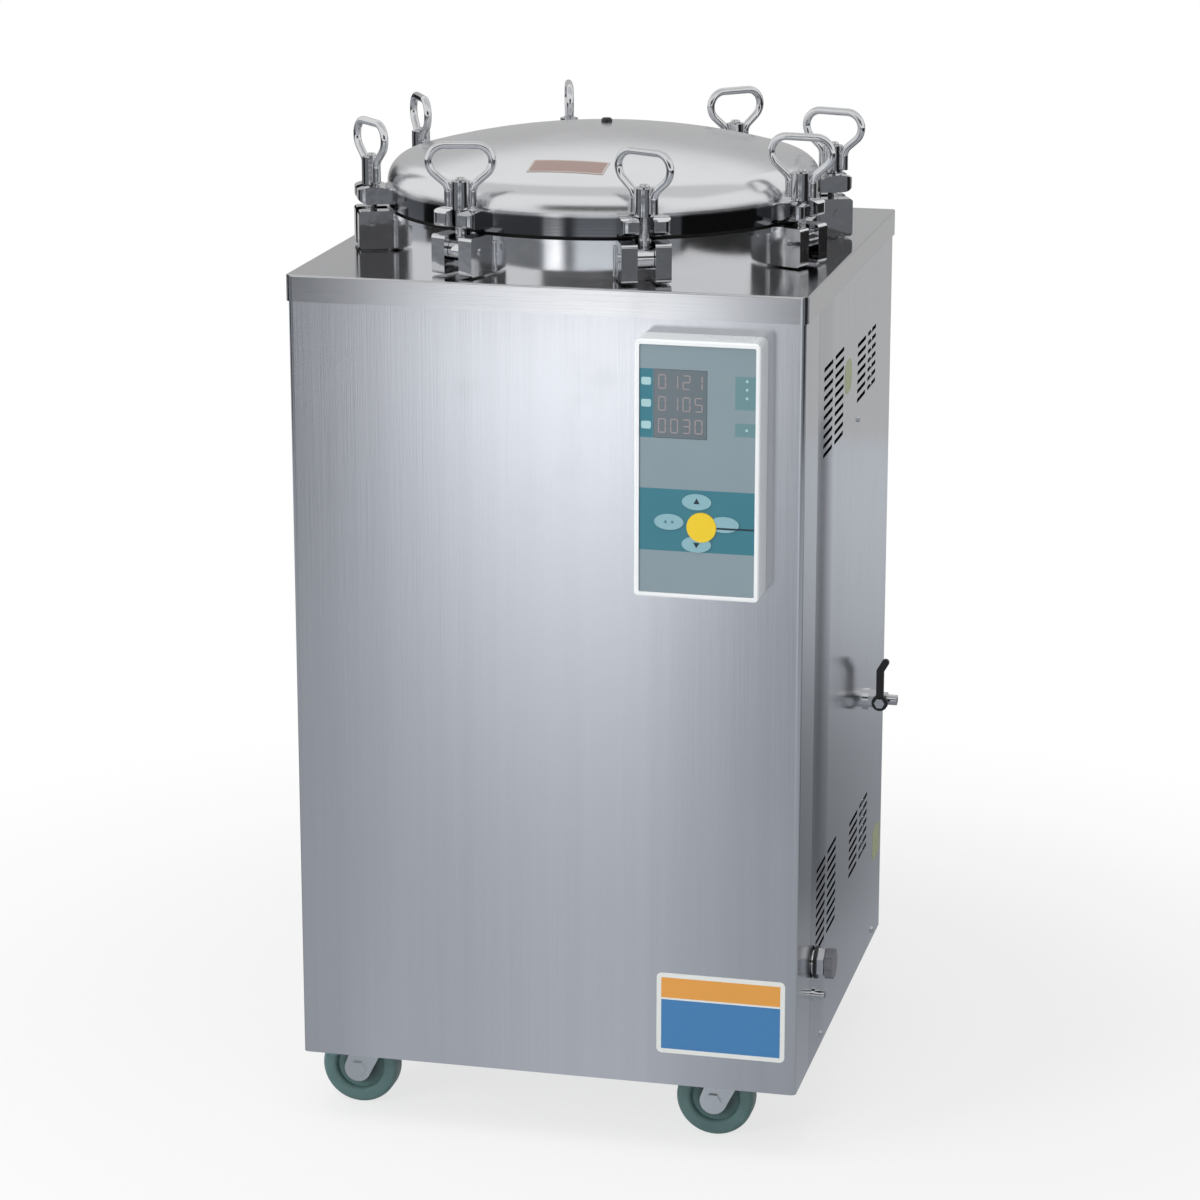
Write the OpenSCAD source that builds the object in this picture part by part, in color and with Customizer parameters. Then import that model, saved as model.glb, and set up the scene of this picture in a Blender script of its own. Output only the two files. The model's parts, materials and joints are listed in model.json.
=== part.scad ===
// Vertical pressure steam sterilizer: a square sheet steel cabinet on casters holds a round vessel,
// and swing bolts with ring shaped nuts clamp the domed lid on it.
// Millimetres. +Z is up, z = 0 is the floor, the Z axis is the vessel's axis, -Y is the front.

/* [Cabinet] */
// Width of the cabinet over its side panels
cabinet_w = 590; // [570:1:660]
// Depth of the cabinet over its front cover and back panel
cabinet_d = 590; // [570:1:660]
// Height of the panels' lower edge above the floor
panel_lift = 87; // [80:1:95]
// Height from the panels' lower edge to the top plate's upper face
cabinet_h = 930; // [860:1:1000]
// Thickness of the cabinet's sheet steel
sheet_t = 2; // [1.5:0.1:3]
// Outer radius of the bends at the cabinet's upright corners
corner_r = 6; // [4.5:0.5:12]
// How far the front cover wraps round each side
cover_return = 85; // [60:1:110]
// How far each side panel wraps round the back
panel_return = 24; // [18:1:40]
// Width of the seams between panels
seam_gap = 0.8; // [0.4:0.1:0.9]

/* [Top and base plates] */
// Thickness of the top plate
plate_t = 3; // [2:0.5:5]
// Height of the top plate's turned down lip
lip_h = 30; // [20:1:45]
// Radius of the top plate's upper edge
plate_edge_r = 2; // [1:0.5:2.5]
// Thickness of the top plate's lip, which stands proud of the panels
lip_t = 2.5; // [2.5:0.5:5]
// Thickness of the base plate
base_t = 3; // [2:0.5:5]
// Height of the base plate's turned down flanges
base_flange_h = 28; // [15:1:36]

/* [Vents] */
// Length of a vent slot
slot_l = 58; // [40:1:62]
// Height of a vent slot
slot_h = 5; // [3:0.5:6]
// Rise from one row of slots to the next
slot_rise = 11; // [9:0.5:12]
// Distance between the two slots of a row, centre to centre
slot_pitch = 72; // [70:1:80]
// Distance of the front and rear vents from the middle of the side
vent_offset = 112; // [100:1:130]
// Height of the upper vents' middle above the panels' lower edge
vent_upper_h = 775; // [700:1:790]
// Height of the lower vents' middle above the panels' lower edge
vent_lower_h = 181; // [150:1:220]
// Rows of slots in a front vent
vent_rows_front = 10; // [6:1:11]
// Rows of slots in a rear vent
vent_rows_rear = 7; // [6:1:11]

/* [Control unit] */
// Width of the control unit's housing
bezel_w = 141; // [130:1:165]
// Height of the control unit's housing
bezel_h = 290; // [270:1:330]
// How far the housing stands out of the front cover
bezel_depth = 40; // [25:1:50]
// Radius of the housing's corners seen from the front
bezel_corner_r = 7; // [5:1:9]
// Radius of the housing's front edge
bezel_edge_r = 2.5; // [1.5:0.5:4]
// Width of the housing's rim round the face panel
bezel_rim = 5.5; // [5:0.5:9]
// Radius of the face panel's corners
face_corner_r = 1.5; // [1:0.5:3]
// Depth of the face panel below the housing's rim
face_sink = 1.5; // [0.5:0.5:3]
// Thickness of the face panel
face_t = 3; // [2.5:0.5:5]
// Gap between the face panel and the housing's rim
face_gap = 0.3; // [0.2:0.1:0.8]
// Distance of the control unit's middle from the cabinet's middle
bezel_x = 183; // [150:1:195]
// Height of the control unit's middle above the panels' lower edge
bezel_z = 739; // [600:1:745]
// Width of the display window
display_w = 60; // [40:1:70]
// Height of the display window
display_h = 77; // [50:1:80]
// Depth of the display window
display_sink = 1; // [0.5:0.5:2]
// Length of an oval key
key_l = 33; // [26:1:34]
// Height of an oval key
key_w = 18; // [14:1:18]
// Distance of the side keys from the crossing of the keys
key_step_x = 31; // [30:0.5:35]
// Distance of the upper and lower keys from the crossing of the keys
key_step_y = 24; // [23:0.5:28]
// Diameter of the round key, which lies over the lower and right oval keys
round_key_d = 33; // [28:1:34]
// How far the round key stands out of the oval keys
round_key_rise = 0.6; // [0.4:0.1:1]
// How far the keys stand out of the face panel
key_rise = 1; // [0.5:0.5:1.5]

/* [Vessel] */
// Inner diameter of the chamber
chamber_d = 440; // [430:1:450]
// Depth of the chamber's straight wall
chamber_depth = 650; // [560:1:700]
// Wall thickness of the chamber
chamber_wall = 4; // [3:0.5:6]
// Depth of the chamber's dished bottom
dish_h = 55; // [35:1:80]
// Width of the rim that hangs the chamber in the vessel flange
chamber_rim = 9; // [6:0.5:10]
// Diameter of the vessel flange's upright band
flange_d = 500; // [490:1:504]
// Height of the band above the top plate
flange_band_h = 39; // [36:1:46]
// Thickness of the flange's edge above the band
flange_edge_t = 5; // [4:0.5:8]
// How far the top plate's opening clears the chamber
vessel_clear = 11; // [6:0.5:12]
// Thickness of the lid gasket
gasket_t = 4; // [3:0.5:6]
// Width of the lid gasket
gasket_w = 18; // [12:1:20]
// Distance of the gasket from the flange's band
gasket_inset = 6; // [3:0.5:8]

/* [Lid] */
// Diameter of the lid, also of the flange's edge
lid_d = 506; // [505:1:510]
// Height of the lid's rim before its upper edge is rounded
lid_rim_h = 47.5; // [42:0.5:56]
// Rise of the lid's dome above its rim
lid_rise = 38.5; // [32:0.5:50]
// Wall thickness of the dome
lid_wall = 6; // [4:0.5:9]
// Radius of the rounded edge between rim and dome
lid_edge_r = 30; // [14:1:32]
// Width of the lid's flat sealing face
lid_land = 30; // [26:1:40]
// Diameter of the vent fitting on the dome
vent_d = 13; // [10:1:24]
// Height of the vent fitting
vent_h = 5; // [4:0.5:12]
// Distance of the vent fitting left of the lid's middle
vent_x = 8; // [0:1:40]
// Distance of the vent fitting behind the lid's middle
vent_y = 45; // [0:1:90]

/* [Clamps] */
// Number of clamps round the lid
clamp_count = 8; // [6:1:9]
// Radius of the circle on which the swing bolts stand
clamp_r = 273; // [271:1:277]
// Height of the swing bolts' pins above the top plate
pin_h = 28; // [20:1:30]
// Diameter of a pin
pin_d = 10; // [8:0.5:12]
// How far a pin stands out of its lug on each side
pin_end = 1.5; // [0.5:0.5:3]
// Gap round the pin, in the lug and in the bolt's eye
pin_gap = 0.05; // [0.03:0.01:0.1]
// Height of a vessel lug
lug_h = 44; // [40:1:47]
// Gap under a vessel lug
lug_lift = 2; // [1:0.5:4]
// Thickness of each ear of a vessel lug
ear_t = 18; // [12:1:20]
// Gap between the ears
ear_gap = 20; // [18:1:24]
// Distance from the pin to a vessel lug's outer end
lug_reach = 18; // [15:1:22]
// Thickness of the web that joins the ears at the vessel
lug_web = 5; // [3:0.5:6]
// Height of a lid lug
lid_lug_h = 20; // [16:1:22]
// Height of a lid lug above the lid's lower edge
lid_lug_lift = 6; // [3:1:7]
// Width of a lid lug
lid_lug_w = 56; // [46:1:62]
// Distance from the bolt to a lid lug's outer end
lid_lug_reach = 18; // [15:1:22]
// Gap between lugs and the wall that they are welded to
weld_gap = 0.2; // [0.1:0.1:0.5]

/* [Swing bolts] */
// Diameter of a bolt's shank
bolt_d = 12; // [10:0.5:14]
// Diameter of a bolt's eye
eye_d = 24; // [20:0.5:26]
// Play between a bolt's eye and the ears on each side
eye_play = 0.5; // [0.3:0.1:1]
// Play between a bolt's shank and the lid lug's slot on each side
slot_play = 2; // [1:0.5:3]
// Gap under a nut, so that the bolt can swing out
nut_gap = 0.5; // [0.3:0.1:1]
// Diameter of a ring nut's hub
hub_d = 22; // [20:0.5:24]
// Height of a ring nut's hub
hub_h = 31; // [26:1:40]
// Gap between the bolt and the nut's thread
thread_gap = 0.1; // [0.05:0.05:0.2]
// How far a bolt stands out of its nut
bolt_end = 4; // [2:0.5:6]
// Diameter of the rod that forms a nut's ring
rod_d = 9; // [7:0.5:11]
// Height of a ring nut over its ring
ring_h = 75.5; // [73:0.5:90]
// Spread of the ring's upper corners before they are rounded
ring_spread = 66; // [58:1:70]
// Radius of the ring's upper corners
ring_corner_r = 18; // [12:1:20]
// Radius of the bends where the ring leaves the hub
ring_neck_r = 14; // [8:1:18]

/* [Casters] */
// Height of a caster from the floor to the base plate
caster_h = 125; // [118:1:135]
// Distance between the swivel axes, across the cabinet
caster_span_x = 434; // [360:1:440]
// Distance between the swivel axes, front to back
caster_span_y = 430; // [360:1:440]
// Distance from the swivel axis to the wheel's axle
caster_trail = 30; // [20:1:34]
// Diameter of a wheel
wheel_d = 92; // [84:1:96]
// Width of a wheel's tread
wheel_w = 28; // [22:1:34]
// Radius of the tread's shoulders
tread_r = 6; // [3:0.5:8]
// Clearance between the wheel and the fork's legs
wheel_play = 5; // [4.5:0.5:8]
// Clearance between the wheel's hub and the fork's legs
hub_play = 0.6; // [0.3:0.1:1]
// Thickness of the fork's legs and of the caster's top plate
fork_t = 3; // [2.5:0.5:4]
// Diameter of the axle
axle_d = 10; // [8:0.5:12]
// Running gap round the axle and the swivel pin
run_gap = 0.05; // [0.03:0.01:0.1]
// Diameter of the swivel head
swivel_d = 52; // [46:1:60]
// Side of the caster's square top plate
caster_plate_w = 76; // [66:1:90]

/* [Valves] */
// Distance of the exhaust valve behind the cabinet's middle
exhaust_y = 160; // [120:1:190]
// Height of the exhaust valve above the panels' lower edge
exhaust_z = 343; // [290:1:400]
// Length of the exhaust lever above its stem
lever_l = 58; // [45:1:70]
// Width of the exhaust lever
lever_w = 9; // [7:0.5:12]
// Thickness of the exhaust lever
lever_t = 5; // [3:0.5:6]
// Distance of the drain valve behind the side panel's front edge
drain_back = 22; // [21:1:60]
// Height of the drain valve's knob above the panels' lower edge
drain_z = 124; // [118:1:135]
// Drop from the knob to the drain outlet
drain_drop = 40; // [32:1:50]
// Diameter of the drain knob
knob_d = 36; // [28:1:40]
// Thickness of the drain knob
knob_t = 10; // [8:0.5:16]
// Diameter of the drain outlet
outlet_d = 11; // [9:0.5:14]
// Length of the drain outlet
outlet_l = 14; // [10:1:22]

/* [Hidden] */
$fn = 96;
eps = 0.01;
bead = 0.05;
far = 2000;

steel = [0.72, 0.73, 0.75];
polished = [0.80, 0.81, 0.83];
dark_plastic = [0.10, 0.10, 0.12];
bezel_white = [0.93, 0.94, 0.94];
face_grey = [0.52, 0.58, 0.62];
tyre_grey = [0.33, 0.42, 0.41];

// Heights that several pieces share
plate_z = panel_lift + cabinet_h;
panel_top = plate_z - plate_t;
panel_h = panel_top - panel_lift;
side_x = cabinet_w / 2;
front_y = -cabinet_d / 2;
back_y = cabinet_d / 2;

// Vessel and lid
chamber_r = chamber_d / 2;
shell_r = chamber_r + chamber_wall;
flange_r = flange_d / 2;
lid_r = lid_d / 2;
flange_top = plate_z + flange_band_h + flange_edge_t;
lid_z = flange_top + gasket_t;
rim_top = lid_z + lid_rim_h;
// Sphere of the dome, which meets the rim's upper edge
dome_r = (lid_r * lid_r + lid_rise * lid_rise) / (2 * lid_rise);
dome_z = rim_top + lid_rise - dome_r;
// Sphere of the chamber's dished bottom
dish_r = (chamber_r * chamber_r + dish_h * dish_h) / (2 * dish_h);
chamber_floor = flange_top - chamber_depth;

// Clamps, in a frame at the bolt's axis on the top plate with X pointing outwards
lug_w = 2 * ear_t + ear_gap;
lid_lug_z = lid_z + lid_lug_lift - plate_z;
lid_lug_top = lid_lug_z + lid_lug_h;
crown_r = lid_lug_top - pin_h;
nut_z = pin_h + crown_r + nut_gap;
slot_w = bolt_d + 2 * slot_play;
eye_w = ear_gap - 2 * eye_play;
rod_sink = 1.5;
rod_x = hub_d / 2 + rod_d / 2 - rod_sink;
rod_foot = 3;
ring_neck_z = hub_h * 0.85;
// Direction of each ring's width, as the nuts happen to stand
ring_turn = [-15, 44, -74, -60, -47, 13, -24, -5];

// Casters
axle_z = wheel_d / 2;
caster_plate_z = caster_h - fork_t;
race_h = 9;
swivel_gap = 0.3;
crown_top = caster_plate_z - race_h - swivel_gap;
crown_t = 6;
leg_y = wheel_w / 2 + wheel_play;
leg_foot_r = 16;
leg_top_w = 44;
axle_head = 3;
king_d = 12;
king_head_d = 20;
king_head_t = 3;

// Exhaust valve, measured along its axis from the side panel
exhaust_rose_d = 28;
exhaust_rose_t = 4;
exhaust_nut_d = 23;
exhaust_nut_t = 8;
exhaust_body_d = 18;
exhaust_body_l = 14;
exhaust_tail_d = 13;
exhaust_tail_l = 12;
exhaust_bore_d = 8;
exhaust_bore_l = 10;
stem_d = 7;
stem_boss_d = 13;
stem_boss_l = 4;
lever_clear = 0.5;
lever_bend = 30;
lever_boss_r = 10;
lever_tip_l = 17;
stem_x = exhaust_rose_t + exhaust_nut_t + exhaust_body_l / 2;
lever_y = exhaust_body_d / 2 + stem_boss_l + lever_clear;
stem_head_t = 2;

// Drain valve, measured along its axis from the side panel
drain_seat_d = 30;
drain_seat_t = 2;
drain_collar_d = 38;
drain_collar_t = 4;
drain_nut_d = 36;
drain_nut_t = 8;
drain_stem_d = 12;
knob_gap = 1;
knob_bore = 7;
knob_flutes = 9;
flute_d = 8;
outlet_bore_d = 7;
outlet_collar_d = 16;
outlet_collar_t = 3;
drain_face = drain_seat_t + drain_collar_t + drain_nut_t;
drain_y = front_y + cover_return + seam_gap + drain_back;

clamps = [1:clamp_count];
casters = [1:4];

// Angle of clamp k round the lid
function clamp_angle(k) = (k - 0.5) * 360 / clamp_count;

// Swivel axis of caster k: 1 front left, 2 front right, 3 rear left, 4 rear right
function caster_side(k) = k % 2 == 1 ? -1 : 1;
function caster_end(k) = k <= 2 ? -1 : 1;
function caster_xy(k) = [caster_side(k) * caster_span_x / 2, caster_end(k) * caster_span_y / 2];

// Point where the line from p touches the circle round c, on the side that sign says
function touch(p, c, r, sign) =
    let (d = p - c, a = atan2(d[1], d[0]) + sign * acos(r / norm(d)))
    c + r * [cos(a), sin(a)];

function heading(a, b) = atan2(b[1] - a[1], b[0] - a[0]);
function wrap(a) = a > 180 ? a - 360 : a < -180 ? a + 360 : a;
function unit(a) = [cos(a), sin(a)];

// Rectangle with rounded corners, from corner a to corner b
module round_rect(a, b, r) {
    translate([a[0] + r, a[1]]) square([b[0] - a[0] - 2 * r, b[1] - a[1]]);
    translate([a[0], a[1] + r]) square([b[0] - a[0], b[1] - a[1] - 2 * r]);
    for (x = [a[0] + r, b[0] - r], y = [a[1] + r, b[1] - r])
        translate([x, y]) circle(r);
}

// Profile w wide from 0 up to h, with rounded upper corners
module arch_profile(w, h, r) {
    round_rect([-w / 2, -2 * r], [w / 2, h], r);
}

// Slab standing on z = 0 with rounded upright corners and a rounded upper edge
module pillow_slab(w, d, h, corner, edge) {
    intersection() {
        linear_extrude(h) round_rect([-w / 2, -d / 2], [w / 2, d / 2], corner);
        rotate([90, 0, 0]) linear_extrude(2 * d, center = true) arch_profile(w, h, edge);
        rotate([90, 0, 90]) linear_extrude(2 * w, center = true) arch_profile(d, h, edge);
    }
}

// Round rod along the points of a path in the XZ plane, with a bend radius for each point.
// A bead a hair thicker than the rod closes each joint of a straight stretch and a bend.
module bent_rod(points, bends, d) {
    last = len(points) - 1;
    turns = [for (i = [0:last]) i == 0 || i == last ? 0
        : wrap(heading(points[i], points[i + 1]) - heading(points[i - 1], points[i]))];
    cuts = [for (i = [0:last]) bends[i] * tan(abs(turns[i]) / 2)];
    rotate([90, 0, 0]) {
        for (i = [0:last - 1]) {
            a = heading(points[i], points[i + 1]);
            start = points[i] + cuts[i] * unit(a);
            end = points[i + 1] - cuts[i + 1] * unit(a);
            translate([start[0], start[1], 0])
                rotate([0, 0, a]) rotate([0, 90, 0]) cylinder(d = d, h = norm(end - start));
            if (i > 0)
                translate([start[0], start[1], 0]) sphere(d = d + 2 * bead);
            if (i < last - 1)
                translate([end[0], end[1], 0]) sphere(d = d + 2 * bead);
        }
        for (i = [1:last - 1]) {
            side = sign(turns[i]);
            a = heading(points[i - 1], points[i]);
            centre = points[i] - cuts[i] * unit(a) + side * bends[i] * unit(a + 90);
            first = side > 0 ? a - 90 : a + 90 + turns[i];
            translate([centre[0], centre[1], 0])
                rotate([0, 0, first])
                    rotate_extrude(angle = abs(turns[i])) translate([bends[i], 0]) circle(d = d);
        }
    }
}

// Puts children at clamp k, with X outwards and z = 0 on the top plate
module at_clamp(k) {
    rotate([0, 0, clamp_angle(k)]) translate([clamp_r, 0, plate_z]) children();
}

// Plan of the cabinet, shrunk by inset
module cabinet_plan(inset) {
    round_rect([inset - side_x, front_y + inset], [side_x - inset, back_y - inset], corner_r - inset);
}

// Bent sheet all round the cabinet
module wrap_plan() {
    difference() {
        cabinet_plan(0);
        cabinet_plan(sheet_t);
    }
}

module front_cover() {
    color(steel) translate([0, 0, panel_lift]) linear_extrude(panel_h) intersection() {
        wrap_plan();
        translate([-side_x, front_y]) square([cabinet_w, cover_return]);
    }
}

// Slots of one vent, round the origin
module vent_slots(rows) {
    for (row = [0:rows - 1], column = [-1, 1])
        translate([column * slot_pitch / 2, (row - (rows - 1) / 2) * slot_rise])
            round_rect([-slot_l / 2, -slot_h / 2], [slot_l / 2, slot_h / 2], slot_h / 2 - eps);
}

// Right side panel, with its return round the back
module side_panel() {
    difference() {
        translate([0, 0, panel_lift]) linear_extrude(panel_h) intersection() {
            wrap_plan();
            union() {
                translate([side_x - sheet_t, front_y + cover_return + seam_gap])
                    square([sheet_t, cabinet_d]);
                translate([side_x - panel_return, back_y - corner_r])
                    square([panel_return, corner_r]);
            }
        }
        translate([side_x - 2 * sheet_t, 0, panel_lift]) rotate([90, 0, 90]) linear_extrude(4 * sheet_t) {
            for (z = [vent_lower_h, vent_upper_h]) {
                translate([-vent_offset, z]) vent_slots(vent_rows_front);
                translate([vent_offset, z]) vent_slots(vent_rows_rear);
            }
        }
    }
}

module side_panel_right() {
    color(steel) side_panel();
}

module side_panel_left() {
    color(steel) mirror([1, 0, 0]) side_panel();
}

module back_panel() {
    half_w = side_x - panel_return - seam_gap;
    color(steel) translate([-half_w, back_y - sheet_t, panel_lift]) cube([2 * half_w, sheet_t, panel_h]);
}

// Tray turned upside down over the panels, with the vessel's opening
module top_plate() {
    color(polished) difference() {
        translate([0, 0, plate_z - lip_h])
            pillow_slab(cabinet_w + 2 * lip_t, cabinet_d + 2 * lip_t, lip_h,
                        corner_r + lip_t, plate_edge_r);
        translate([0, 0, plate_z - lip_h - eps]) linear_extrude(lip_h - plate_t + eps) cabinet_plan(0);
        cylinder(r = shell_r + vessel_clear, h = far);
    }
}

// Pan between the panels that carries the casters
module base_plate() {
    corner = corner_r + sheet_t;
    inset = sheet_t;
    color(steel) difference() {
        translate([0, 0, caster_h - base_flange_h]) linear_extrude(base_flange_h + base_t)
            round_rect([inset - side_x, front_y + inset], [side_x - inset, back_y - inset], corner);
        translate([0, 0, caster_h - base_flange_h - eps]) linear_extrude(base_flange_h + eps)
            round_rect([2 * inset - side_x, front_y + 2 * inset], [side_x - 2 * inset, back_y - 2 * inset],
                       corner - inset);
    }
}

// Puts children on the front cover at the control unit, with X right, Y up and z outwards
module at_control() {
    translate([bezel_x, front_y, panel_lift + bezel_z]) rotate([90, 0, 0]) children();
}

module control_housing() {
    pocket = face_sink + face_t;
    color(bezel_white) at_control() difference() {
        pillow_slab(bezel_w, bezel_h, bezel_depth, bezel_corner_r, bezel_edge_r);
        translate([0, 0, bezel_depth - pocket]) linear_extrude(pocket + eps)
            round_rect([bezel_rim - bezel_w / 2, bezel_rim - bezel_h / 2],
                       [bezel_w / 2 - bezel_rim, bezel_h / 2 - bezel_rim], face_corner_r + face_gap);
    }
}

// Outline of an oval key
module key_plan() {
    polygon([for (a = [0:7.5:352.5]) [key_l / 2 * cos(a), key_w / 2 * sin(a)]]);
}

module control_face() {
    rim = bezel_rim + face_gap;
    face_w = bezel_w - 2 * rim;
    face_h = bezel_h - 2 * rim;
    display_at = [-19, 74, face_t - display_sink];
    keys_at = [0, -58.5, 0];
    round_key_at = [5.5, -4.5];
    color(face_grey) at_control() translate([0, 0, bezel_depth - face_sink - face_t]) {
        difference() {
            linear_extrude(face_t)
                round_rect([-face_w / 2, -face_h / 2], [face_w / 2, face_h / 2], face_corner_r);
            translate(display_at)
                linear_extrude(display_sink + eps) square([display_w, display_h], center = true);
        }
        translate(keys_at) {
            linear_extrude(face_t + key_rise) for (s = [-1, 1]) {
                translate([s * key_step_x, 0]) key_plan();
                translate([0, s * key_step_y]) key_plan();
            }
            translate(round_key_at) cylinder(d = round_key_d, h = face_t + key_rise + round_key_rise);
        }
    }
}

// Cylindrical pot with a dished bottom, hung by a rim in the vessel flange
module chamber() {
    color(steel) rotate_extrude() difference() {
        union() {
            translate([0, chamber_floor]) square([shell_r, chamber_depth]);
            translate([0, flange_top - chamber_wall]) square([shell_r + chamber_rim, chamber_wall]);
            intersection() {
                translate([0, chamber_floor + dish_r - dish_h]) circle(dish_r + chamber_wall);
                translate([0, chamber_floor - far]) square([shell_r, far]);
            }
        }
        translate([0, chamber_floor]) square([chamber_r, far]);
        intersection() {
            translate([0, chamber_floor + dish_r - dish_h]) circle(dish_r);
            translate([0, chamber_floor - far]) square([chamber_r, far + eps]);
        }
    }
}

// Ring on the top plate, recessed below its edge, with a seat for the chamber's rim
module vessel_flange() {
    color(polished) rotate_extrude() difference() {
        union() {
            translate([0, plate_z]) square([flange_r, flange_band_h + flange_edge_t]);
            translate([0, plate_z + flange_band_h]) square([lid_r, flange_edge_t]);
        }
        translate([0, plate_z - eps]) square([shell_r + weld_gap, far]);
        translate([0, flange_top - chamber_wall]) square([shell_r + chamber_rim + weld_gap, far]);
    }
}

module lid_gasket() {
    outer = flange_r - gasket_inset;
    color(dark_plastic) translate([0, 0, flange_top]) difference() {
        cylinder(r = outer, h = gasket_t);
        translate([0, 0, -eps]) cylinder(r = outer - gasket_w, h = gasket_t + 2 * eps);
    }
}

// Half section of the lid's outside: upright rim, rounded edge and spherical dome
module lid_section() {
    // Centre of the edge's arc, inside the rim's wall and inside the dome
    arc_x = lid_r - lid_edge_r;
    arc_z = dome_z + sqrt(pow(dome_r - lid_edge_r, 2) - arc_x * arc_x);
    touch_angle = atan2(arc_z - dome_z, arc_x);
    touch_x = arc_x + lid_edge_r * cos(touch_angle);
    intersection() {
        union() {
            translate([0, lid_z]) square([lid_r, arc_z - lid_z]);
            translate([arc_x, arc_z]) circle(lid_edge_r);
            intersection() {
                translate([0, dome_z]) circle(dome_r);
                translate([0, lid_z]) square([touch_x, far]);
            }
        }
        translate([0, lid_z]) square([lid_r, far]);
    }
}

module lid() {
    color(polished) rotate_extrude() difference() {
        lid_section();
        intersection() {
            translate([0, dome_z]) circle(dome_r - lid_wall);
            translate([0, lid_z - eps]) square([lid_r - lid_land, far]);
        }
    }
}

// Small vent fitting that stands square on the dome
module lid_vent() {
    lean = asin(norm([vent_x, vent_y]) / dome_r);
    cap_h = vent_h * 0.4;
    color(dark_plastic) translate([0, 0, dome_z]) rotate([0, lean, atan2(vent_y, -vent_x)])
        translate([0, 0, dome_r + eps]) {
            cylinder(d = vent_d, h = vent_h - cap_h);
            translate([0, 0, vent_h - cap_h]) cylinder(d1 = vent_d, d2 = vent_d * 0.7, h = cap_h);
        }
}

// Fork of two ears and a web, following the vessel flange's band
module vessel_lug() {
    depth = clamp_r - flange_r + lug_reach;
    corner = 4;
    difference() {
        rotate([90, 0, 0]) linear_extrude(lug_w, center = true) difference() {
            round_rect([lug_reach - depth - 2 * corner, lug_lift], [lug_reach, lug_lift + lug_h], corner);
            translate([0, pin_h]) circle(d = pin_d + 2 * pin_gap);
        }
        translate([flange_r - clamp_r + lug_web, -ear_gap / 2, 0]) cube([far, ear_gap, far]);
        translate([-clamp_r, 0, -eps]) cylinder(r = flange_r + weld_gap, h = far);
        translate([-clamp_r, 0, flange_band_h - weld_gap]) cylinder(r = lid_r + weld_gap, h = far);
    }
}

module vessel_lugs() {
    color(polished) for (k = clamps) at_clamp(k) vessel_lug();
}

// Plan of a lid lug, with the slot that lets the bolt swing out
module lid_lug_plan(back_x) {
    plan_r = 8;
    difference() {
        round_rect([back_x, -lid_lug_w / 2], [lid_lug_reach, lid_lug_w / 2], plan_r);
        circle(d = slot_w);
        translate([0, -slot_w / 2]) square([far, slot_w]);
    }
}

// Forked lug on the lid's rim. Its top is an arc round the pin, so the nut swings clear of it.
module lid_lug() {
    toe_r = 16;
    toe_over = 4;
    back_x = lid_r - clamp_r - toe_r;
    difference() {
        intersection() {
            rotate([90, 0, 0]) linear_extrude(2 * lid_lug_w, center = true) intersection() {
                round_rect([back_x - 2 * toe_r, lid_lug_z],
                           [lid_lug_reach + toe_over, lid_lug_top + 2 * toe_r], toe_r);
                translate([0, pin_h]) circle(crown_r);
            }
            linear_extrude(far) lid_lug_plan(back_x);
        }
        translate([-clamp_r, 0, -eps]) cylinder(r = lid_r + weld_gap, h = far);
    }
}

module lid_lugs() {
    color(polished) for (k = clamps) at_clamp(k) lid_lug();
}

module lug_pins() {
    color(polished) for (k = clamps) at_clamp(k)
        translate([0, 0, pin_h]) rotate([90, 0, 0]) cylinder(d = pin_d, h = lug_w + 2 * pin_end, center = true);
}

module eye_bolt(k) {
    top = nut_z + hub_h + bolt_end;
    tip_h = 1.5;
    color(polished) at_clamp(k) difference() {
        union() {
            translate([0, 0, pin_h]) rotate([90, 0, 0]) cylinder(d = eye_d, h = eye_w, center = true);
            translate([0, 0, pin_h]) cylinder(d = bolt_d, h = top - tip_h - pin_h);
            translate([0, 0, top - tip_h]) cylinder(d1 = bolt_d, d2 = bolt_d - 2 * tip_h, h = tip_h);
        }
        translate([0, 0, pin_h]) rotate([90, 0, 0])
            cylinder(d = pin_d + 2 * pin_gap, h = 2 * eye_w, center = true);
    }
}

// Threaded hub with a ring of bent rod welded along both its sides
module ring_nut(k) {
    top_z = ring_h - rod_d / 2;
    half = [[rod_x, rod_foot], [rod_x, ring_neck_z], [ring_spread, top_z]];
    points = concat(half, [for (i = [2:-1:0]) [-half[i][0], half[i][1]]]);
    bends = [0, ring_neck_r, ring_corner_r, ring_corner_r, ring_neck_r, 0];
    color(polished) at_clamp(k) translate([0, 0, nut_z])
        rotate([0, 0, ring_turn[(k - 1) % len(ring_turn)] - clamp_angle(k)]) difference() {
            union() {
                cylinder(d = hub_d, h = hub_h);
                bent_rod(points, bends, rod_d);
            }
            translate([0, 0, -eps]) cylinder(d = bolt_d + 2 * thread_gap, h = hub_h + 2 * eps);
        }
}

// Puts children at caster k, with X pointing the way the wheel trails, to the left
module at_caster(k) {
    translate(caster_xy(k)) rotate([0, 0, 180]) children();
}

// Top plate, ball race and swivel pin of one caster
module caster_mount() {
    corner = 8;
    half = caster_plate_w / 2;
    race_d = swivel_d - 6;
    translate([0, 0, caster_plate_z]) linear_extrude(fork_t) round_rect([-half, -half], [half, half], corner);
    translate([0, 0, caster_plate_z - race_h]) cylinder(d = race_d, h = race_h);
    translate([0, 0, crown_top - crown_t - swivel_gap]) cylinder(d = king_d, h = race_h);
    translate([0, 0, crown_top - crown_t - swivel_gap - king_head_t])
        cylinder(d = king_head_d, h = king_head_t);
}

module caster_mounts() {
    color(steel) for (k = casters) at_caster(k) caster_mount();
}

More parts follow.
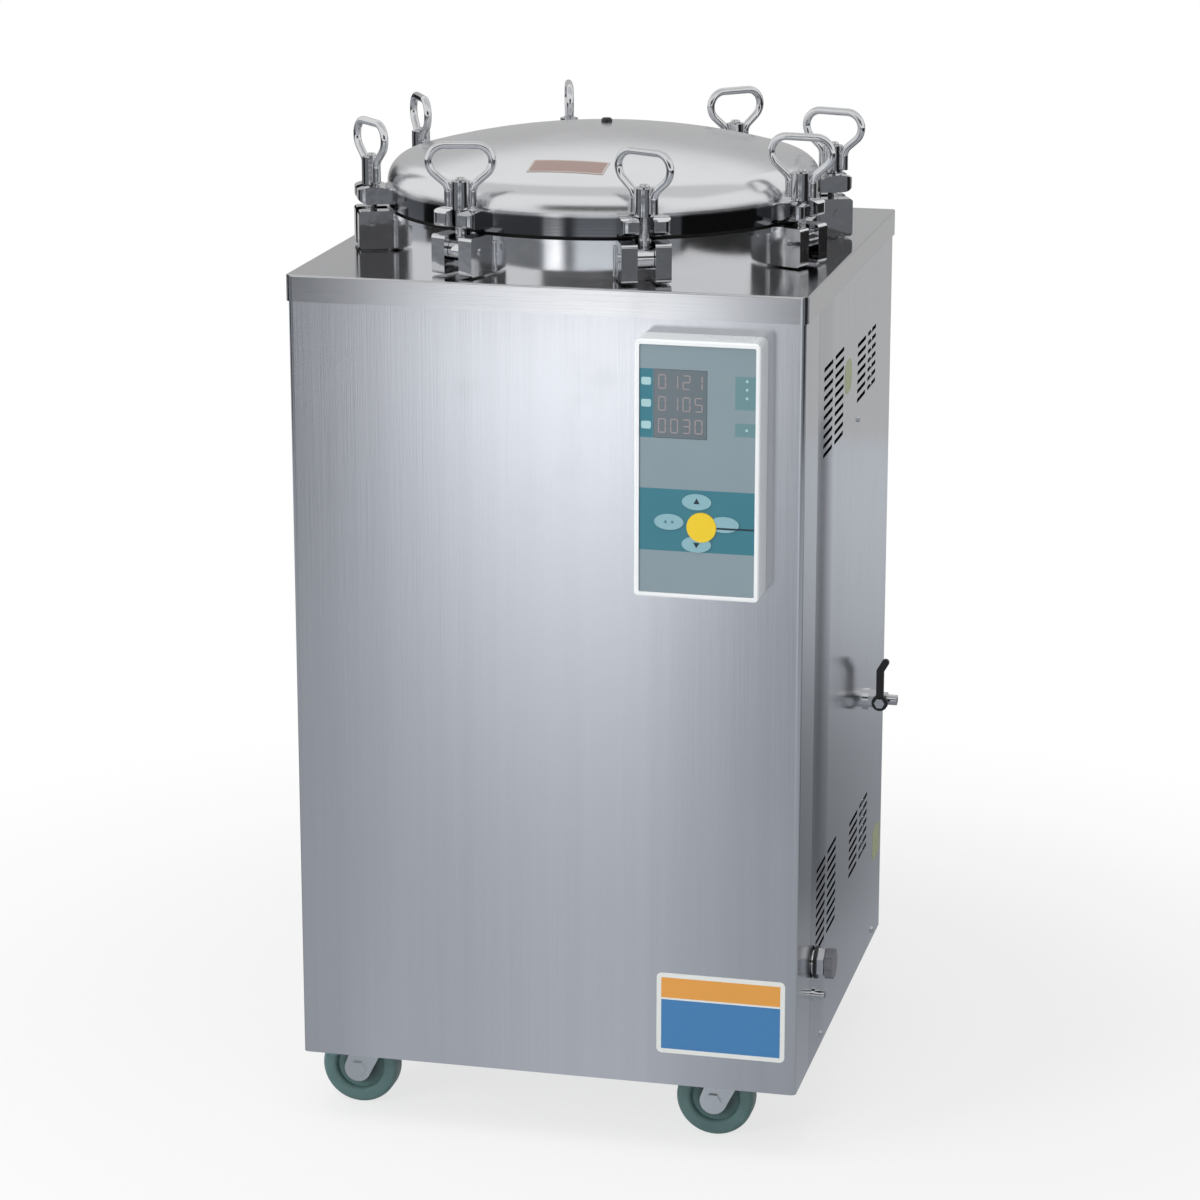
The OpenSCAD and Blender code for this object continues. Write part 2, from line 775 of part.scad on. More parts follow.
// Outline of a fork's leg from the swivel head down to the axle
module leg_plan() {
    foot = [caster_trail, axle_z];
    left = [-leg_top_w / 2, crown_top];
    right = [leg_top_w / 2, crown_top];
    polygon([left, touch(left, foot, leg_foot_r, 1), touch(right, foot, leg_foot_r, -1), right]);
    translate(foot) circle(leg_foot_r);
}

// Swivel fork with its axle
module caster_fork(k) {
    leg_span = 2 * (leg_y + fork_t);
    color(steel) at_caster(k) {
        difference() {
            union() {
                for (y = [-leg_y, leg_y + fork_t])
                    translate([0, y, 0]) rotate([90, 0, 0]) linear_extrude(fork_t) leg_plan();
                translate([0, 0, crown_top - crown_t]) intersection() {
                    cylinder(d = swivel_d, h = crown_t);
                    translate([0, 0, crown_t / 2]) cube([leg_top_w, leg_span, crown_t], center = true);
                }
            }
            cylinder(d = king_d + 2 * run_gap, h = far);
        }
        translate([caster_trail, 0, axle_z]) rotate([90, 0, 0]) {
            cylinder(d = axle_d, h = leg_span, center = true);
            for (s = [-1, 1])
                translate([0, 0, s * (leg_span + axle_head) / 2])
                    cylinder(d = 2 * axle_d, h = axle_head, center = true, $fn = 6);
        }
    }
}

// Half section of a wheel: tread with round shoulders, thin web and hub
module wheel_section() {
    rim_in = wheel_d / 2 - 18;
    hub_r = axle_d / 2 + 8;
    web_t = wheel_w - 12;
    hub_w = 2 * (leg_y - hub_play);
    difference() {
        union() {
            round_rect([rim_in, -wheel_w / 2], [wheel_d / 2, wheel_w / 2], tread_r);
            translate([0, -web_t / 2]) square([rim_in + tread_r, web_t]);
            translate([0, -hub_w / 2]) square([hub_r, hub_w]);
        }
        translate([0, -leg_y]) square([axle_d / 2 + run_gap, 2 * leg_y]);
    }
}

module caster_wheel(k) {
    color(tyre_grey) at_caster(k) translate([caster_trail, 0, axle_z]) rotate([90, 0, 0])
        rotate_extrude() wheel_section();
}

// Puts children on the right side panel at depth y and height z, with z outwards
module at_side(y, z) {
    translate([side_x, y, panel_lift + z]) rotate([0, 90, 0]) children();
}

module exhaust_valve() {
    nut_at = exhaust_rose_t;
    body_at = nut_at + exhaust_nut_t;
    tail_at = body_at + exhaust_body_l;
    reach = lever_y + lever_t;
    color(polished) difference() {
        union() {
            at_side(exhaust_y, exhaust_z) {
                cylinder(d = exhaust_rose_d, h = exhaust_rose_t);
                translate([0, 0, nut_at]) cylinder(d = exhaust_nut_d, h = exhaust_nut_t, $fn = 6);
                translate([0, 0, body_at]) cylinder(d = exhaust_body_d, h = exhaust_body_l);
                translate([0, 0, tail_at]) cylinder(d = exhaust_tail_d, h = exhaust_tail_l);
            }
            translate([side_x + stem_x, exhaust_y, panel_lift + exhaust_z]) rotate([90, 0, 0]) {
                cylinder(d = stem_boss_d, h = lever_y - lever_clear);
                cylinder(d = stem_d, h = reach + lever_clear);
                translate([0, 0, reach + lever_clear]) cylinder(d = stem_boss_d, h = stem_head_t, $fn = 6);
            }
        }
        at_side(exhaust_y, exhaust_z)
            translate([0, 0, tail_at + exhaust_tail_l - exhaust_bore_l])
                cylinder(d = exhaust_bore_d, h = exhaust_bore_l + eps);
    }
}

// Flat lever on the valve's stem, with its tip cranked outwards
module exhaust_lever() {
    color(dark_plastic) translate([side_x + stem_x, exhaust_y - lever_y, panel_lift + exhaust_z])
        rotate([90, 0, 0]) linear_extrude(lever_t) difference() {
            union() {
                circle(lever_boss_r);
                round_rect([-lever_w / 2, 0], [lever_w / 2, lever_l - lever_tip_l + lever_w / 2],
                           lever_w / 2 - eps);
                translate([0, lever_l - lever_tip_l]) rotate(-lever_bend)
                    round_rect([-lever_w / 2, -lever_w / 2], [lever_w / 2, lever_tip_l], lever_w / 2 - eps);
            }
            circle(d = stem_d + 2 * run_gap);
        }
}

// Drain valve's seat, collar, nut and stem, with the outlet below it
module drain_valve() {
    nut_at = drain_seat_t + drain_collar_t;
    color(polished) {
        at_side(drain_y, drain_z) {
            cylinder(d = drain_seat_d, h = drain_seat_t);
            translate([0, 0, drain_seat_t]) cylinder(d = drain_collar_d, h = drain_collar_t);
            translate([0, 0, nut_at]) cylinder(d = drain_nut_d, h = drain_nut_t, $fn = 6);
            translate([0, 0, drain_face]) cylinder(d = drain_stem_d, h = knob_gap + knob_bore - run_gap);
        }
        at_side(drain_y, drain_z - drain_drop) difference() {
            union() {
                cylinder(d = outlet_collar_d, h = outlet_collar_t);
                cylinder(d = outlet_d, h = outlet_l);
            }
            translate([0, 0, outlet_collar_t]) cylinder(d = outlet_bore_d, h = outlet_l);
        }
    }
}

module drain_knob() {
    color(steel) at_side(drain_y, drain_z) translate([0, 0, drain_face + knob_gap]) difference() {
        cylinder(d = knob_d, h = knob_t);
        translate([0, 0, -eps]) cylinder(d = drain_stem_d + 2 * run_gap, h = knob_bore + run_gap);
        for (i = [1:knob_flutes])
            rotate([0, 0, i * 360 / knob_flutes]) translate([knob_d / 2 + flute_d / 4, 0, -eps])
                cylinder(d = flute_d, h = far);
    }
}

front_cover();
side_panel_left();
side_panel_right();
back_panel();
top_plate();
base_plate();
control_housing();
control_face();
chamber();
vessel_flange();
lid_gasket();
lid();
lid_vent();
vessel_lugs();
lid_lugs();
lug_pins();
for (k = clamps) eye_bolt(k);
for (k = clamps) ring_nut(k);
caster_mounts();
for (k = casters) caster_fork(k);
for (k = casters) caster_wheel(k);
exhaust_valve();
exhaust_lever();
drain_valve();
drain_knob();
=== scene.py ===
# %% [markdown]
# # A vertical steam sterilizer
#
# The machine is a square stainless steel cabinet on casters. A round pressure vessel hangs in it, and swing
# bolts with ring nuts hold the domed lid down. Its solid pieces come ready made, at their real size and in
# metres. This lesson gives each of them a finish, adds the thin and small things that belong to the looks,
# and lights the whole as in a studio.

# %% Load the solid pieces
import json
import math

import bmesh
import bpy
from mathutils import Matrix, Vector


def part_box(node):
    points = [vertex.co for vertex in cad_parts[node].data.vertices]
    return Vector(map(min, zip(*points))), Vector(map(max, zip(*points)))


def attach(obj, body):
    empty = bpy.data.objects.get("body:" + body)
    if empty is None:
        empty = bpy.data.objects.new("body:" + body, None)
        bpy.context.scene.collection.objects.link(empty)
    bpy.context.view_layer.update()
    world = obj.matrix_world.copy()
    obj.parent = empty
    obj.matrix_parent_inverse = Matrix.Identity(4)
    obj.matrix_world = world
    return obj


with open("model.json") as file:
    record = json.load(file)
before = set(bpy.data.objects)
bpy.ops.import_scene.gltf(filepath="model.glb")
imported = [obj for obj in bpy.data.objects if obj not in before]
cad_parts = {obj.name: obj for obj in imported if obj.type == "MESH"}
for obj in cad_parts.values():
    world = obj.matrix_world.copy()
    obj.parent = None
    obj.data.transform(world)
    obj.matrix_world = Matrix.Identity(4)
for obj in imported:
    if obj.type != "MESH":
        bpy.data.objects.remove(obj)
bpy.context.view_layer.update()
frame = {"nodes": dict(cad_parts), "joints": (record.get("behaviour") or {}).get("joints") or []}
nodes = frame["nodes"]
joints = {joint["name"]: joint for joint in frame["joints"]}

# %% [markdown]
# ## The camera
#
# The picture was taken with a long lens from the front right and from above, so the uprights lean very
# little. The angles and the distance were found by fitting the cabinet's edges. A camera that is turned by
# its own three axes is easier to check than one with three angles, so the axes are written down and made
# into a rotation.

# %% Camera
PICTURE_SIDE = 1200
FOCAL_PIXELS = 3839
SENSOR_MM = 36
CAMERA_TURN = math.radians(13.40)
CAMERA_DIP = math.radians(15.34)
CAMERA_DISTANCE = 4.625
CAMERA_RISE = 0.0266
CAMERA_LEFT = 0.0053
CABINET_MIDDLE = Vector((0, 0, 0.552))

camera_right = Vector((math.cos(CAMERA_TURN), math.sin(CAMERA_TURN), 0))
camera_ahead = Vector((-math.sin(CAMERA_TURN) * math.cos(CAMERA_DIP),
                       math.cos(CAMERA_TURN) * math.cos(CAMERA_DIP),
                       -math.sin(CAMERA_DIP)))
camera_up = camera_right.cross(camera_ahead)
camera_place = (CABINET_MIDDLE - camera_right * CAMERA_LEFT + camera_up * CAMERA_RISE
                - camera_ahead * CAMERA_DISTANCE)
camera_axes = Matrix((camera_right, camera_up, -camera_ahead)).transposed()
bpy.ops.object.camera_add(location=camera_place, rotation=camera_axes.to_euler())
camera = bpy.context.object
camera.name = "camera"
camera.data.sensor_width = SENSOR_MM
camera.data.lens = FOCAL_PIXELS / PICTURE_SIDE * SENSOR_MM
bpy.context.scene.camera = camera
bpy.context.scene.view_settings.view_transform = "Standard"
print("camera at", [round(step, 3) for step in camera_place], "lens", round(camera.data.lens, 1))

# %% [markdown]
# ## Shader maths that reads like maths
#
# A finish is a small program made of nodes. Wiring every Math node by hand hides what the program says, so
# a Wire wraps one output socket and takes part in ordinary Python expressions. Every other node comes from
# one method, which takes the node's kind, its settings and what goes into its sockets.

# %% Wires and finishes
class Wire:
    """One value of a shader. An expression of wires and numbers adds the Math nodes that work it out."""

    def __init__(self, finish, socket):
        self.finish = finish
        self.socket = socket

    def math(self, operation, first, second=0.0):
        return self.finish.node("Math", {"operation": operation}, {0: first, 1: second})

    def __add__(self, other):
        return self.math("ADD", self, other)

    def __sub__(self, other):
        return self.math("SUBTRACT", self, other)

    def __rsub__(self, other):
        return self.math("SUBTRACT", other, self)

    def __mul__(self, other):
        return self.math("MULTIPLY", self, other)

    def __pow__(self, other):
        return self.math("POWER", self, other)

    def above(self, edge):
        return self.math("GREATER_THAN", self, edge)

    def largest(self, other):
        return self.math("MAXIMUM", self, other)

    __radd__ = __add__
    __rmul__ = __mul__


class Finish:
    """A node tree, of a material or of the world, that grows by its node method."""

    def __init__(self, owner):
        owner.use_nodes = True
        self.owner = owner
        self.tree = owner.node_tree
        self.tree.nodes.clear()

    def node(self, kind, settings, inputs, output=0):
        new = self.tree.nodes.new("ShaderNode" + kind)
        for name, value in settings.items():
            setattr(new, name, value)
        self.feed(new, inputs)
        return Wire(self, new.outputs[output]) if new.outputs else None

    def feed(self, node, inputs):
        for name, value in inputs.items():
            if isinstance(value, Wire):
                self.tree.links.new(value.socket, node.inputs[name])
            else:
                node.inputs[name].default_value = value

    def place(self):
        return self.node("TexCoord", {}, {}, "Object")

    def split(self, vector):
        parts = self.node("SeparateXYZ", {}, {0: vector}).socket.node
        return [Wire(self, socket) for socket in parts.outputs]

    def stretched(self, vector, scale):
        return self.node("Mapping", {}, {"Vector": vector, "Scale": scale})

    def noise(self, vector, scale, detail=2.0, rough=0.5):
        return self.node("TexNoise", {}, {"Vector": vector, "Scale": scale,
                                          "Detail": detail, "Roughness": rough})

    def ramp(self, value, low, high, start=0.0, end=1.0):
        """Carries value from low..high to start..end with soft ends."""
        return self.node("MapRange", {"interpolation_type": "SMOOTHSTEP"},
                         {0: value, 1: low, 2: high, 3: start, 4: end})

    def mix(self, share, first, second):
        return self.node("Mix", {"data_type": "RGBA"}, {0: share, 6: first, 7: second}, 2)

    def bump(self, height, depth):
        return self.node("Bump", {}, {"Height": height, "Distance": depth, "Strength": 1.0})

    def surface(self, inputs):
        shader = self.node("BsdfPrincipled", {}, inputs)
        self.node("OutputMaterial", {}, {"Surface": shader})
        return self.owner


def new_finish(name):
    return Finish(bpy.data.materials.new(name))


def paint(red, green, blue):
    """A colour given as screen values from 0 to 255, made linear."""
    return [((value / 255 + 0.055) / 1.055) ** 2.4 for value in (red, green, blue)] + [1.0]


def grey(value):
    return [value, value, value, 1.0]


print("wires and finishes ready")

# %% [markdown]
# ## The white room
#
# A photographer lights a white paper sweep until it burns out. Here the floor and the world simply answer
# white to the rays that show the background, so the lamps can stay at a plain level. Close to the machine a
# part of the floor is ordinary pale paint, which keeps a soft shadow under the casters.

# %% Floor and world
FLOOR_SIDE = 30.0
FLOOR_PALE = 0.86
FADE_FROM = 0.5
FADE_TO = 1.5
NEAR_GLOW = 0.72
AMBIENT = 0.46


def deselect():
    bpy.ops.object.select_all(action="DESELECT")


deselect()
bpy.ops.mesh.primitive_plane_add(size=FLOOR_SIDE)
floor = bpy.context.object
floor.name = "floor"


def seen_white(finish):
    """1 on rays that show the background: to the camera, and by way of metal or glass."""
    path = finish.node("LightPath", {}, {}, "Is Camera Ray").socket.node
    rays = [Wire(finish, path.outputs[name])
            for name in ("Is Camera Ray", "Is Glossy Ray", "Is Transmission Ray")]
    return rays[0].largest(rays[1]).largest(rays[2])


def floor_finish():
    finish = new_finish("studio_floor")
    x, y = finish.split(finish.place())[:2]
    radius = (x * x + y * y) ** 0.5
    white = finish.ramp(radius, FADE_FROM, FADE_TO, NEAR_GLOW, 1.0) * seen_white(finish)
    lit = finish.node("BsdfDiffuse", {}, {"Color": grey(FLOOR_PALE)})
    glow = finish.node("Emission", {}, {"Color": grey(1.0), "Strength": 1.0})
    blend = finish.node("MixShader", {}, {0: white, 1: lit, 2: glow})
    finish.node("OutputMaterial", {}, {"Surface": blend})
    return finish.owner


def studio_world():
    world = bpy.data.worlds.new("studio")
    finish = Finish(world)
    colour = finish.mix(seen_white(finish), grey(AMBIENT), grey(1.0))
    sky = finish.node("Background", {}, {"Color": colour, "Strength": 1.0})
    finish.node("OutputWorld", {}, {"Surface": sky})
    return world


floor.data.materials.append(floor_finish())
bpy.context.scene.world = studio_world()
print("floor", FLOOR_SIDE, "m wide, ambient", AMBIENT)

# %% [markdown]
# ## Lamps
#
# Large soft lamps give soft shadows. In steel they would show as hard white boxes, so they are hidden from
# reflections: they light the paint, the plastic and the floor, and what the steel shows is set up by itself
# in the next two steps.

# %% Lamps
LAMP_AIM = Vector((0, 0, 0.7))
OVERHEAD_WATTS = 45
FRONT_WATTS = 66


def soft_box(name, place, width, height, watts):
    """A lamp that lights the machine. In reflections the cards take its place."""
    bpy.ops.object.light_add(type="AREA", location=place,
                             rotation=(LAMP_AIM - Vector(place)).to_track_quat("-Z", "Y").to_euler())
    lamp = bpy.context.object
    lamp.name = name
    lamp.data.shape = "RECTANGLE"
    lamp.data.size = width
    lamp.data.size_y = height
    lamp.data.energy = watts
    lamp.visible_glossy = False


soft_box("overhead_box", (-0.6, -1.2, 3.2), 3.0, 2.4, OVERHEAD_WATTS)
soft_box("front_box", (-2.6, -3.4, 1.8), 1.6, 2.2, FRONT_WATTS)
print("lamps", OVERHEAD_WATTS, FRONT_WATTS, "W")

# %% [markdown]
# ## The card on the floor
#
# Polished steel shows its surroundings more than itself, so they are half of its finish. Seen from above,
# an upright panel shows the floor before it. A picture of a room could be wrapped round the scene, but a
# card that only reflections see is easier to plan: it is grey, darker behind the machine, and has a streak
# of light in front.

# %% Floor card
CARD_LIFT = 0.002
FLOOR_CARD_SIDE = 24.0
FRONT_TONE = 0.46
BEHIND = (-0.6, 0.8)
BEHIND_DROP = 0.24
FAR = (0.8, 3.2)
FAR_GAIN = 0.26
ROOM_FROM = (5.4, 7.5)
ROOM_TONE = 0.20
SHADE = [0.955, 1.0, 1.07, 1.0]
# The way from a height on the front panel to the floor that it shows
SIGHT_OUT = math.cos(CAMERA_TURN) / math.tan(CAMERA_DIP)
SIGHT_SIDE = math.sin(CAMERA_TURN) / math.tan(CAMERA_DIP)
SIGHT_SPREAD = 0.36
# Streak of light, by the place across the panel and the height on it
RIDGE_EDGE = (-0.28, -0.20)
RIDGE_LEFT = (-0.20, 0.08)
RIDGE_RIGHT = (0.08, 0.28)
EDGE_SHARE = 0.6
RIDGE_RISE = (0.10, 1.6)
RIDGE_LOW = 0.17
RIDGE_GAIN = 1.65
LEFT_DARK = (-0.36, -0.25)
RIGHT_DARK = (0.23, 0.32)
SIDES_DROP = 0.35
SECOND_FROM = (0.36, 0.60)
SECOND_TO = (1.3, 1.9)
SECOND_GAIN = 0.90
# Dark wedge behind and to the right, by the way out from the side panel and the way back
WEDGE_INNER = 0.32
WEDGE_OUTER = 0.52
WEDGE_SOFT = 0.15
WEDGE_FADE = 0.3
WEDGE_DROP = 0.8
PAST_BACK = (0.6, 0.9)
NEAR_BACK = (1.3, 2.3)
NEAR_DROP = 0.22


def reflected_only(card, finish, light):
    """Shows a card to reflections alone, as a plain source of light."""
    finish.node("OutputMaterial", {}, {"Surface": light})
    card.data.materials.append(finish.owner)
    card.visible_camera = False
    card.visible_diffuse = False
    card.visible_shadow = False


def front_light(finish, x, y):
    """What the streak adds to the floor's tone, and how white it is there.

    The front panel shows the floor along the mirrored line of sight. Each place on the floor therefore
    stands for one height and one place across on the panel, and the streak is laid out by those.
    """
    height = (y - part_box("front_cover")[0].y) * (-1 / SIGHT_OUT)
    across = (x + height * SIGHT_SIDE) * (1 - height * SIGHT_SPREAD)
    rise = finish.ramp(height, *RIDGE_RISE)
    climb = finish.ramp(across, *RIDGE_EDGE) * EDGE_SHARE
    climb = climb + finish.ramp(across, *RIDGE_LEFT) * (1 - EDGE_SHARE)
    ridge = climb * (1 - finish.ramp(across, *RIDGE_RIGHT))
    second = finish.ramp(across, *SECOND_FROM) * (1 - finish.ramp(across, *SECOND_TO))
    sides = 1 - finish.ramp(across, *LEFT_DARK) + finish.ramp(across, *RIGHT_DARK)
    streak = ridge * (rise * RIDGE_GAIN + RIDGE_LOW)
    return streak + second * rise * SECOND_GAIN - sides * rise * SIDES_DROP, ridge * rise


def light_left(finish, x, y):
    """The share of light that is left behind the machine, where the right side panel looks."""
    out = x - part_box("side_panel_right")[1].x
    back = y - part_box("side_panel_right")[0].y
    past = finish.ramp(back, *PAST_BACK)
    wedge = past * finish.ramp(out - back * WEDGE_INNER, 0.0, WEDGE_SOFT)
    wedge = wedge * (1 - finish.ramp(out - back * WEDGE_OUTER, 0.0, WEDGE_FADE))
    near = past * finish.ramp(out, 0.0, WEDGE_SOFT) * (1 - finish.ramp(back, *NEAR_BACK))
    return (1 - wedge * WEDGE_DROP) * (1 - near * NEAR_DROP)


def floor_card():
    deselect()
    bpy.ops.mesh.primitive_plane_add(size=FLOOR_CARD_SIDE, location=(0, 0, CARD_LIFT))
    card = bpy.context.object
    card.name = "floor_card"
    finish = new_finish("floor_card")
    x, y = finish.split(finish.place())[:2]
    radius = (x * x + y * y) ** 0.5
    streak, white = front_light(finish, x, y)
    behind = finish.ramp(y, *BEHIND) * (finish.ramp(radius, *FAR) * FAR_GAIN - BEHIND_DROP)
    lit = streak + behind + FRONT_TONE
    room = finish.ramp(radius, *ROOM_FROM)
    tone = lit * (1 - room) * light_left(finish, x, y) + room * ROOM_TONE
    colour = finish.mix(white, SHADE, grey(1.0))
    glow = finish.node("VectorMath", {"operation": "SCALE"}, {0: colour, "Scale": tone})
    reflected_only(card, finish, finish.node("Emission", {}, {"Color": glow, "Strength": 1.0}))


floor_card()
print("floor card", FLOOR_CARD_SIDE, "m wide")

# %% [markdown]
# ## Cards round the machine
#
# Rods and rims look like metal through the black and white lines in them. Dark cards at the sides give the
# black ones. They begin above the floor, so the flat panels don't show them. A grey card stands behind, one
# hangs overhead, and a dark one stands where the camera would be.

# %% Standing and hanging cards
CEILING_LOW = -1.0
CEILING_HIGH = 1.2
CEILING_Z = 3.2
CEILING_W = 5.0
CEILING_TONE = 0.75
# Name, bearing from the front towards the right, distance, width, lower and upper edge, tone
UPRIGHT_CARDS = (
    ("back_card", 180, 3.4, 7.0, 0.0, 2.7, 0.52),
    ("left_dark_card", -78, 2.8, 1.5, 0.26, 1.0, 0.02),
    ("right_dark_card", 77, 2.8, 2.6, 0.26, 1.0, 0.02),
    ("rear_dark_card", 125, 3.0, 0.7, 0.26, 1.6, 0.02),
    ("rear_left_card", -135, 3.0, 0.9, 0.26, 1.6, 0.02),
    ("camera_card", 10, 6.2, 7.0, 1.5, 4.2, 0.10),
)


def plain_card(name, centre, turn, width, height, tone):
    deselect()
    bpy.ops.mesh.primitive_plane_add(size=1, location=centre, rotation=turn)
    card = bpy.context.object
    card.name = name
    card.scale = (width, height, 1)
    finish = new_finish(name)
    reflected_only(card, finish, finish.node("Emission", {}, {"Color": grey(tone), "Strength": 1.0}))


plain_card("ceiling_card", (0, (CEILING_LOW + CEILING_HIGH) / 2, CEILING_Z), (math.pi, 0, 0),
           CEILING_W, CEILING_HIGH - CEILING_LOW, CEILING_TONE)
for name, bearing, distance, width, low, high, tone in UPRIGHT_CARDS:
    angle = math.radians(bearing)
    centre = (math.sin(angle) * distance, -math.cos(angle) * distance, (low + high) / 2)
    plain_card(name, centre, (math.pi / 2, 0, angle), width, high - low, tone)
print("cards round the machine:", len(UPRIGHT_CARDS) + 1)

# %% [markdown]
# ## Stainless steel
#
# Sheet steel is brushed along its length. The scratches are far longer than they are wide, so the noise
# that makes them is squeezed across the grain and stretched along it. They change the roughness, a little
# of the tone, and the surface itself through a bump. Faint smudges from hands and wiping break up the
# gloss.

# %% Steel finishes
GRAIN_DEPTH = 0.00002
BROAD_SHARE = 0.05
SMUDGES = (0.52, 0.72)
RUBBED = (0.55, 0.75)
RINGS_PER_M = 900.0
# Dark painted reflection that the lid's rim shows in its colour, far darker than steel
RIM_PAINTED_REFLECTION_TONE = [0.17, 0.175, 0.185, 1.0]
RIM_ROUGH = 0.07
RIM_BLEND = 0.004
SWELL = 0.008
SWELL_WIDTH = 0.10
SWELL_LEAD = 0.035


def tinted(tone, factor):
    """A tone made lighter or darker."""
    return [min(part * factor, 1.0) for part in tone[:3]] + [1.0]


def brushed_steel(name, tone, rough, grain, spread, streaks, turn_in=None):
    """Sheet brushed along the axis that has the small scale in grain.

    From the line turn_in, where one is given, the bump lets a thin sheet seem to swell towards the back.
    """
    finish = new_finish(name)
    place = finish.place()
    fine = finish.noise(finish.stretched(place, grain), 1.0, 3.0, 0.6)
    broad = finish.noise(finish.stretched(place, [scale * BROAD_SHARE for scale in grain]), 1.0, 2.0)
    cloud = finish.noise(place, 3.0, 3.0)
    smudge = finish.ramp(finish.noise(place, 11.0, 4.0, 0.6), *SMUDGES)
    share = (fine - 0.5) * 0.20 + (broad - 0.5) * streaks + (cloud - 0.5) * 0.20 + 0.5
    relief = fine * GRAIN_DEPTH
    if turn_in is not None:
        y = finish.split(place)[1]
        relief = relief + finish.ramp(y, turn_in - SWELL_LEAD, turn_in + SWELL_WIDTH) * SWELL
    return finish.surface({
        "Base Color": finish.mix(share, tinted(tone, 0.84), tinted(tone, 1.16)),
        "Metallic": 1.0,
        "Roughness": (fine - 0.5) * 0.06 + (cloud - 0.5) * 0.05 + smudge * 0.015 + rough,
        "Anisotropic": spread,
        "Normal": finish.bump(relief, 1.0),
    })


def turned_steel(name, tone, rough, spread, rim_top=None):
    """Steel polished on a lathe, with fine rings round the vessel's axis.

    Up to the height rim_top, where one is given, it is a mirror and not satin, with a dark painted reflection
    in its colour.
    """
    finish = new_finish(name)
    place = finish.place()
    x, y, z = finish.split(place)
    radius = (x * x + y * y) ** 0.5
    ring = finish.node("CombineXYZ", {}, {0: radius * RINGS_PER_M, 1: z * RINGS_PER_M, 2: 0.0})
    rings = finish.noise(ring, 1.0, 2.0)
    cloud = finish.noise(place, 6.0, 3.0)
    smudge = finish.ramp(finish.noise(place, 14.0, 4.0, 0.6), *SMUDGES)
    share = (rings - 0.5) * 0.10 + (cloud - 0.5) * 0.14 + 0.5
    colour = finish.mix(share, tinted(tone, 0.86), tinted(tone, 1.12))
    roughness = (rings - 0.5) * 0.04 + (cloud - 0.5) * 0.05 + smudge * 0.04 + rough
    if rim_top is not None:
        # Below rim_top the colour turns to the dark painted reflection and the roughness drops to a mirror's
        satin = finish.ramp(z, rim_top - RIM_BLEND, rim_top)
        colour = finish.mix(satin, RIM_PAINTED_REFLECTION_TONE, colour)
        roughness = roughness - (1 - satin) * (rough - RIM_ROUGH)
    return finish.surface({
        "Base Color": colour,
        "Metallic": 1.0,
        "Roughness": roughness,
        "Anisotropic": spread,
        "Anisotropic Rotation": 0.25,
        "Normal": finish.bump(rings, 0.00001),
    })


def bright_steel(name, tone, rough):
    """Hand polished fittings: nearly mirrors, with faint waves and rubbed spots."""
    finish = new_finish(name)
    place = finish.place()
    waves = finish.noise(place, 45.0, 2.0)
    spots = finish.ramp(finish.noise(place, 240.0, 3.0, 0.6), *RUBBED)
    return finish.surface({
        "Base Color": finish.mix(spots * 0.5, tone, tinted(tone, 0.8)),
        "Metallic": 1.0,
        "Roughness": spots * 0.08 + (waves - 0.5) * 0.05 + rough,
        "Normal": finish.bump(waves, 0.0002),
    })


STEEL_TONE = [0.595, 0.605, 0.635, 1.0]
PLATE_TONE = [0.54, 0.545, 0.56, 1.0]
FLANGE_TONE = [0.76, 0.765, 0.78, 1.0]
LID_TONE = [0.69, 0.695, 0.71, 1.0]
RIM_H = 0.0235
BRIGHT_TONE = [0.63, 0.635, 0.65, 1.0]
ZINC_TONE = [0.60, 0.63, 0.65, 1.0]
BASE_TONE = [0.40, 0.41, 0.42, 1.0]
UPRIGHT_GRAIN = (900.0, 900.0, 7.0)
CROSS_GRAIN = (7.0, 900.0, 900.0)

sheet_steel = brushed_steel("brushed_sheet", STEEL_TONE, 0.16, UPRIGHT_GRAIN, 0.3, 0.30)
side_steel = brushed_steel("side_sheet", STEEL_TONE, 0.14, UPRIGHT_GRAIN, 0.3, 0.30,
                           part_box("side_panel_right")[0].y)
plate_steel = brushed_steel("polished_plate", PLATE_TONE, 0.13, CROSS_GRAIN, 0.2, 0.06)
base_steel = brushed_steel("base_sheet", BASE_TONE, 0.45, CROSS_GRAIN, 0.0, 0.30)
vessel_steel = turned_steel("turned_flange", FLANGE_TONE, 0.12, 0.2)
# The lid's rim carries a dark painted reflection in its colour
lid_steel = turned_steel("satin_lid", LID_TONE, 0.22, 0.3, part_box("lid")[0].z + RIM_H)
chamber_steel = turned_steel("chamber_wall", STEEL_TONE, 0.35, 0.3)
clamp_steel = bright_steel("bright_clamp", BRIGHT_TONE, 0.06)
zinc = bright_steel("zinc_plate", ZINC_TONE, 0.28)
weld_steel = bright_steel("weld_bead", STEEL_TONE, 0.22)
print("steel finishes:", sheet_steel.name, plate_steel.name, lid_steel.name, clamp_steel.name)

# %% [markdown]
# ## Plastics and rubber
#
# Moulded plastic isn't a flat colour: it has a fine grain, and handling polishes parts of it. One function
# makes all of them, with its own colour, gloss and grain. Rubber is the same with a coarser grain and dust
# on it.

# %% Plastic and rubber finishes
HUB_FADE = (0.012, 0.030)
TREAD = (0.0435, 0.046)


def moulded(name, tone, rough, grain, depth, drift=0.10):
    finish = new_finish(name)
    place = finish.place()
    grains = finish.noise(place, grain, 2.0)
    cloud = finish.noise(place, 9.0, 3.0)
    share = (cloud - 0.5) * 0.8 + (grains - 0.5) * 0.3 + 0.5
    return finish.surface({
        "Base Color": finish.mix(share, tinted(tone, 1 - drift), tinted(tone, 1 + drift)),
        "Roughness": (cloud - 0.5) * 0.14 + (grains - 0.5) * 0.08 + rough,
        "Normal": finish.bump(grains, depth),
    })


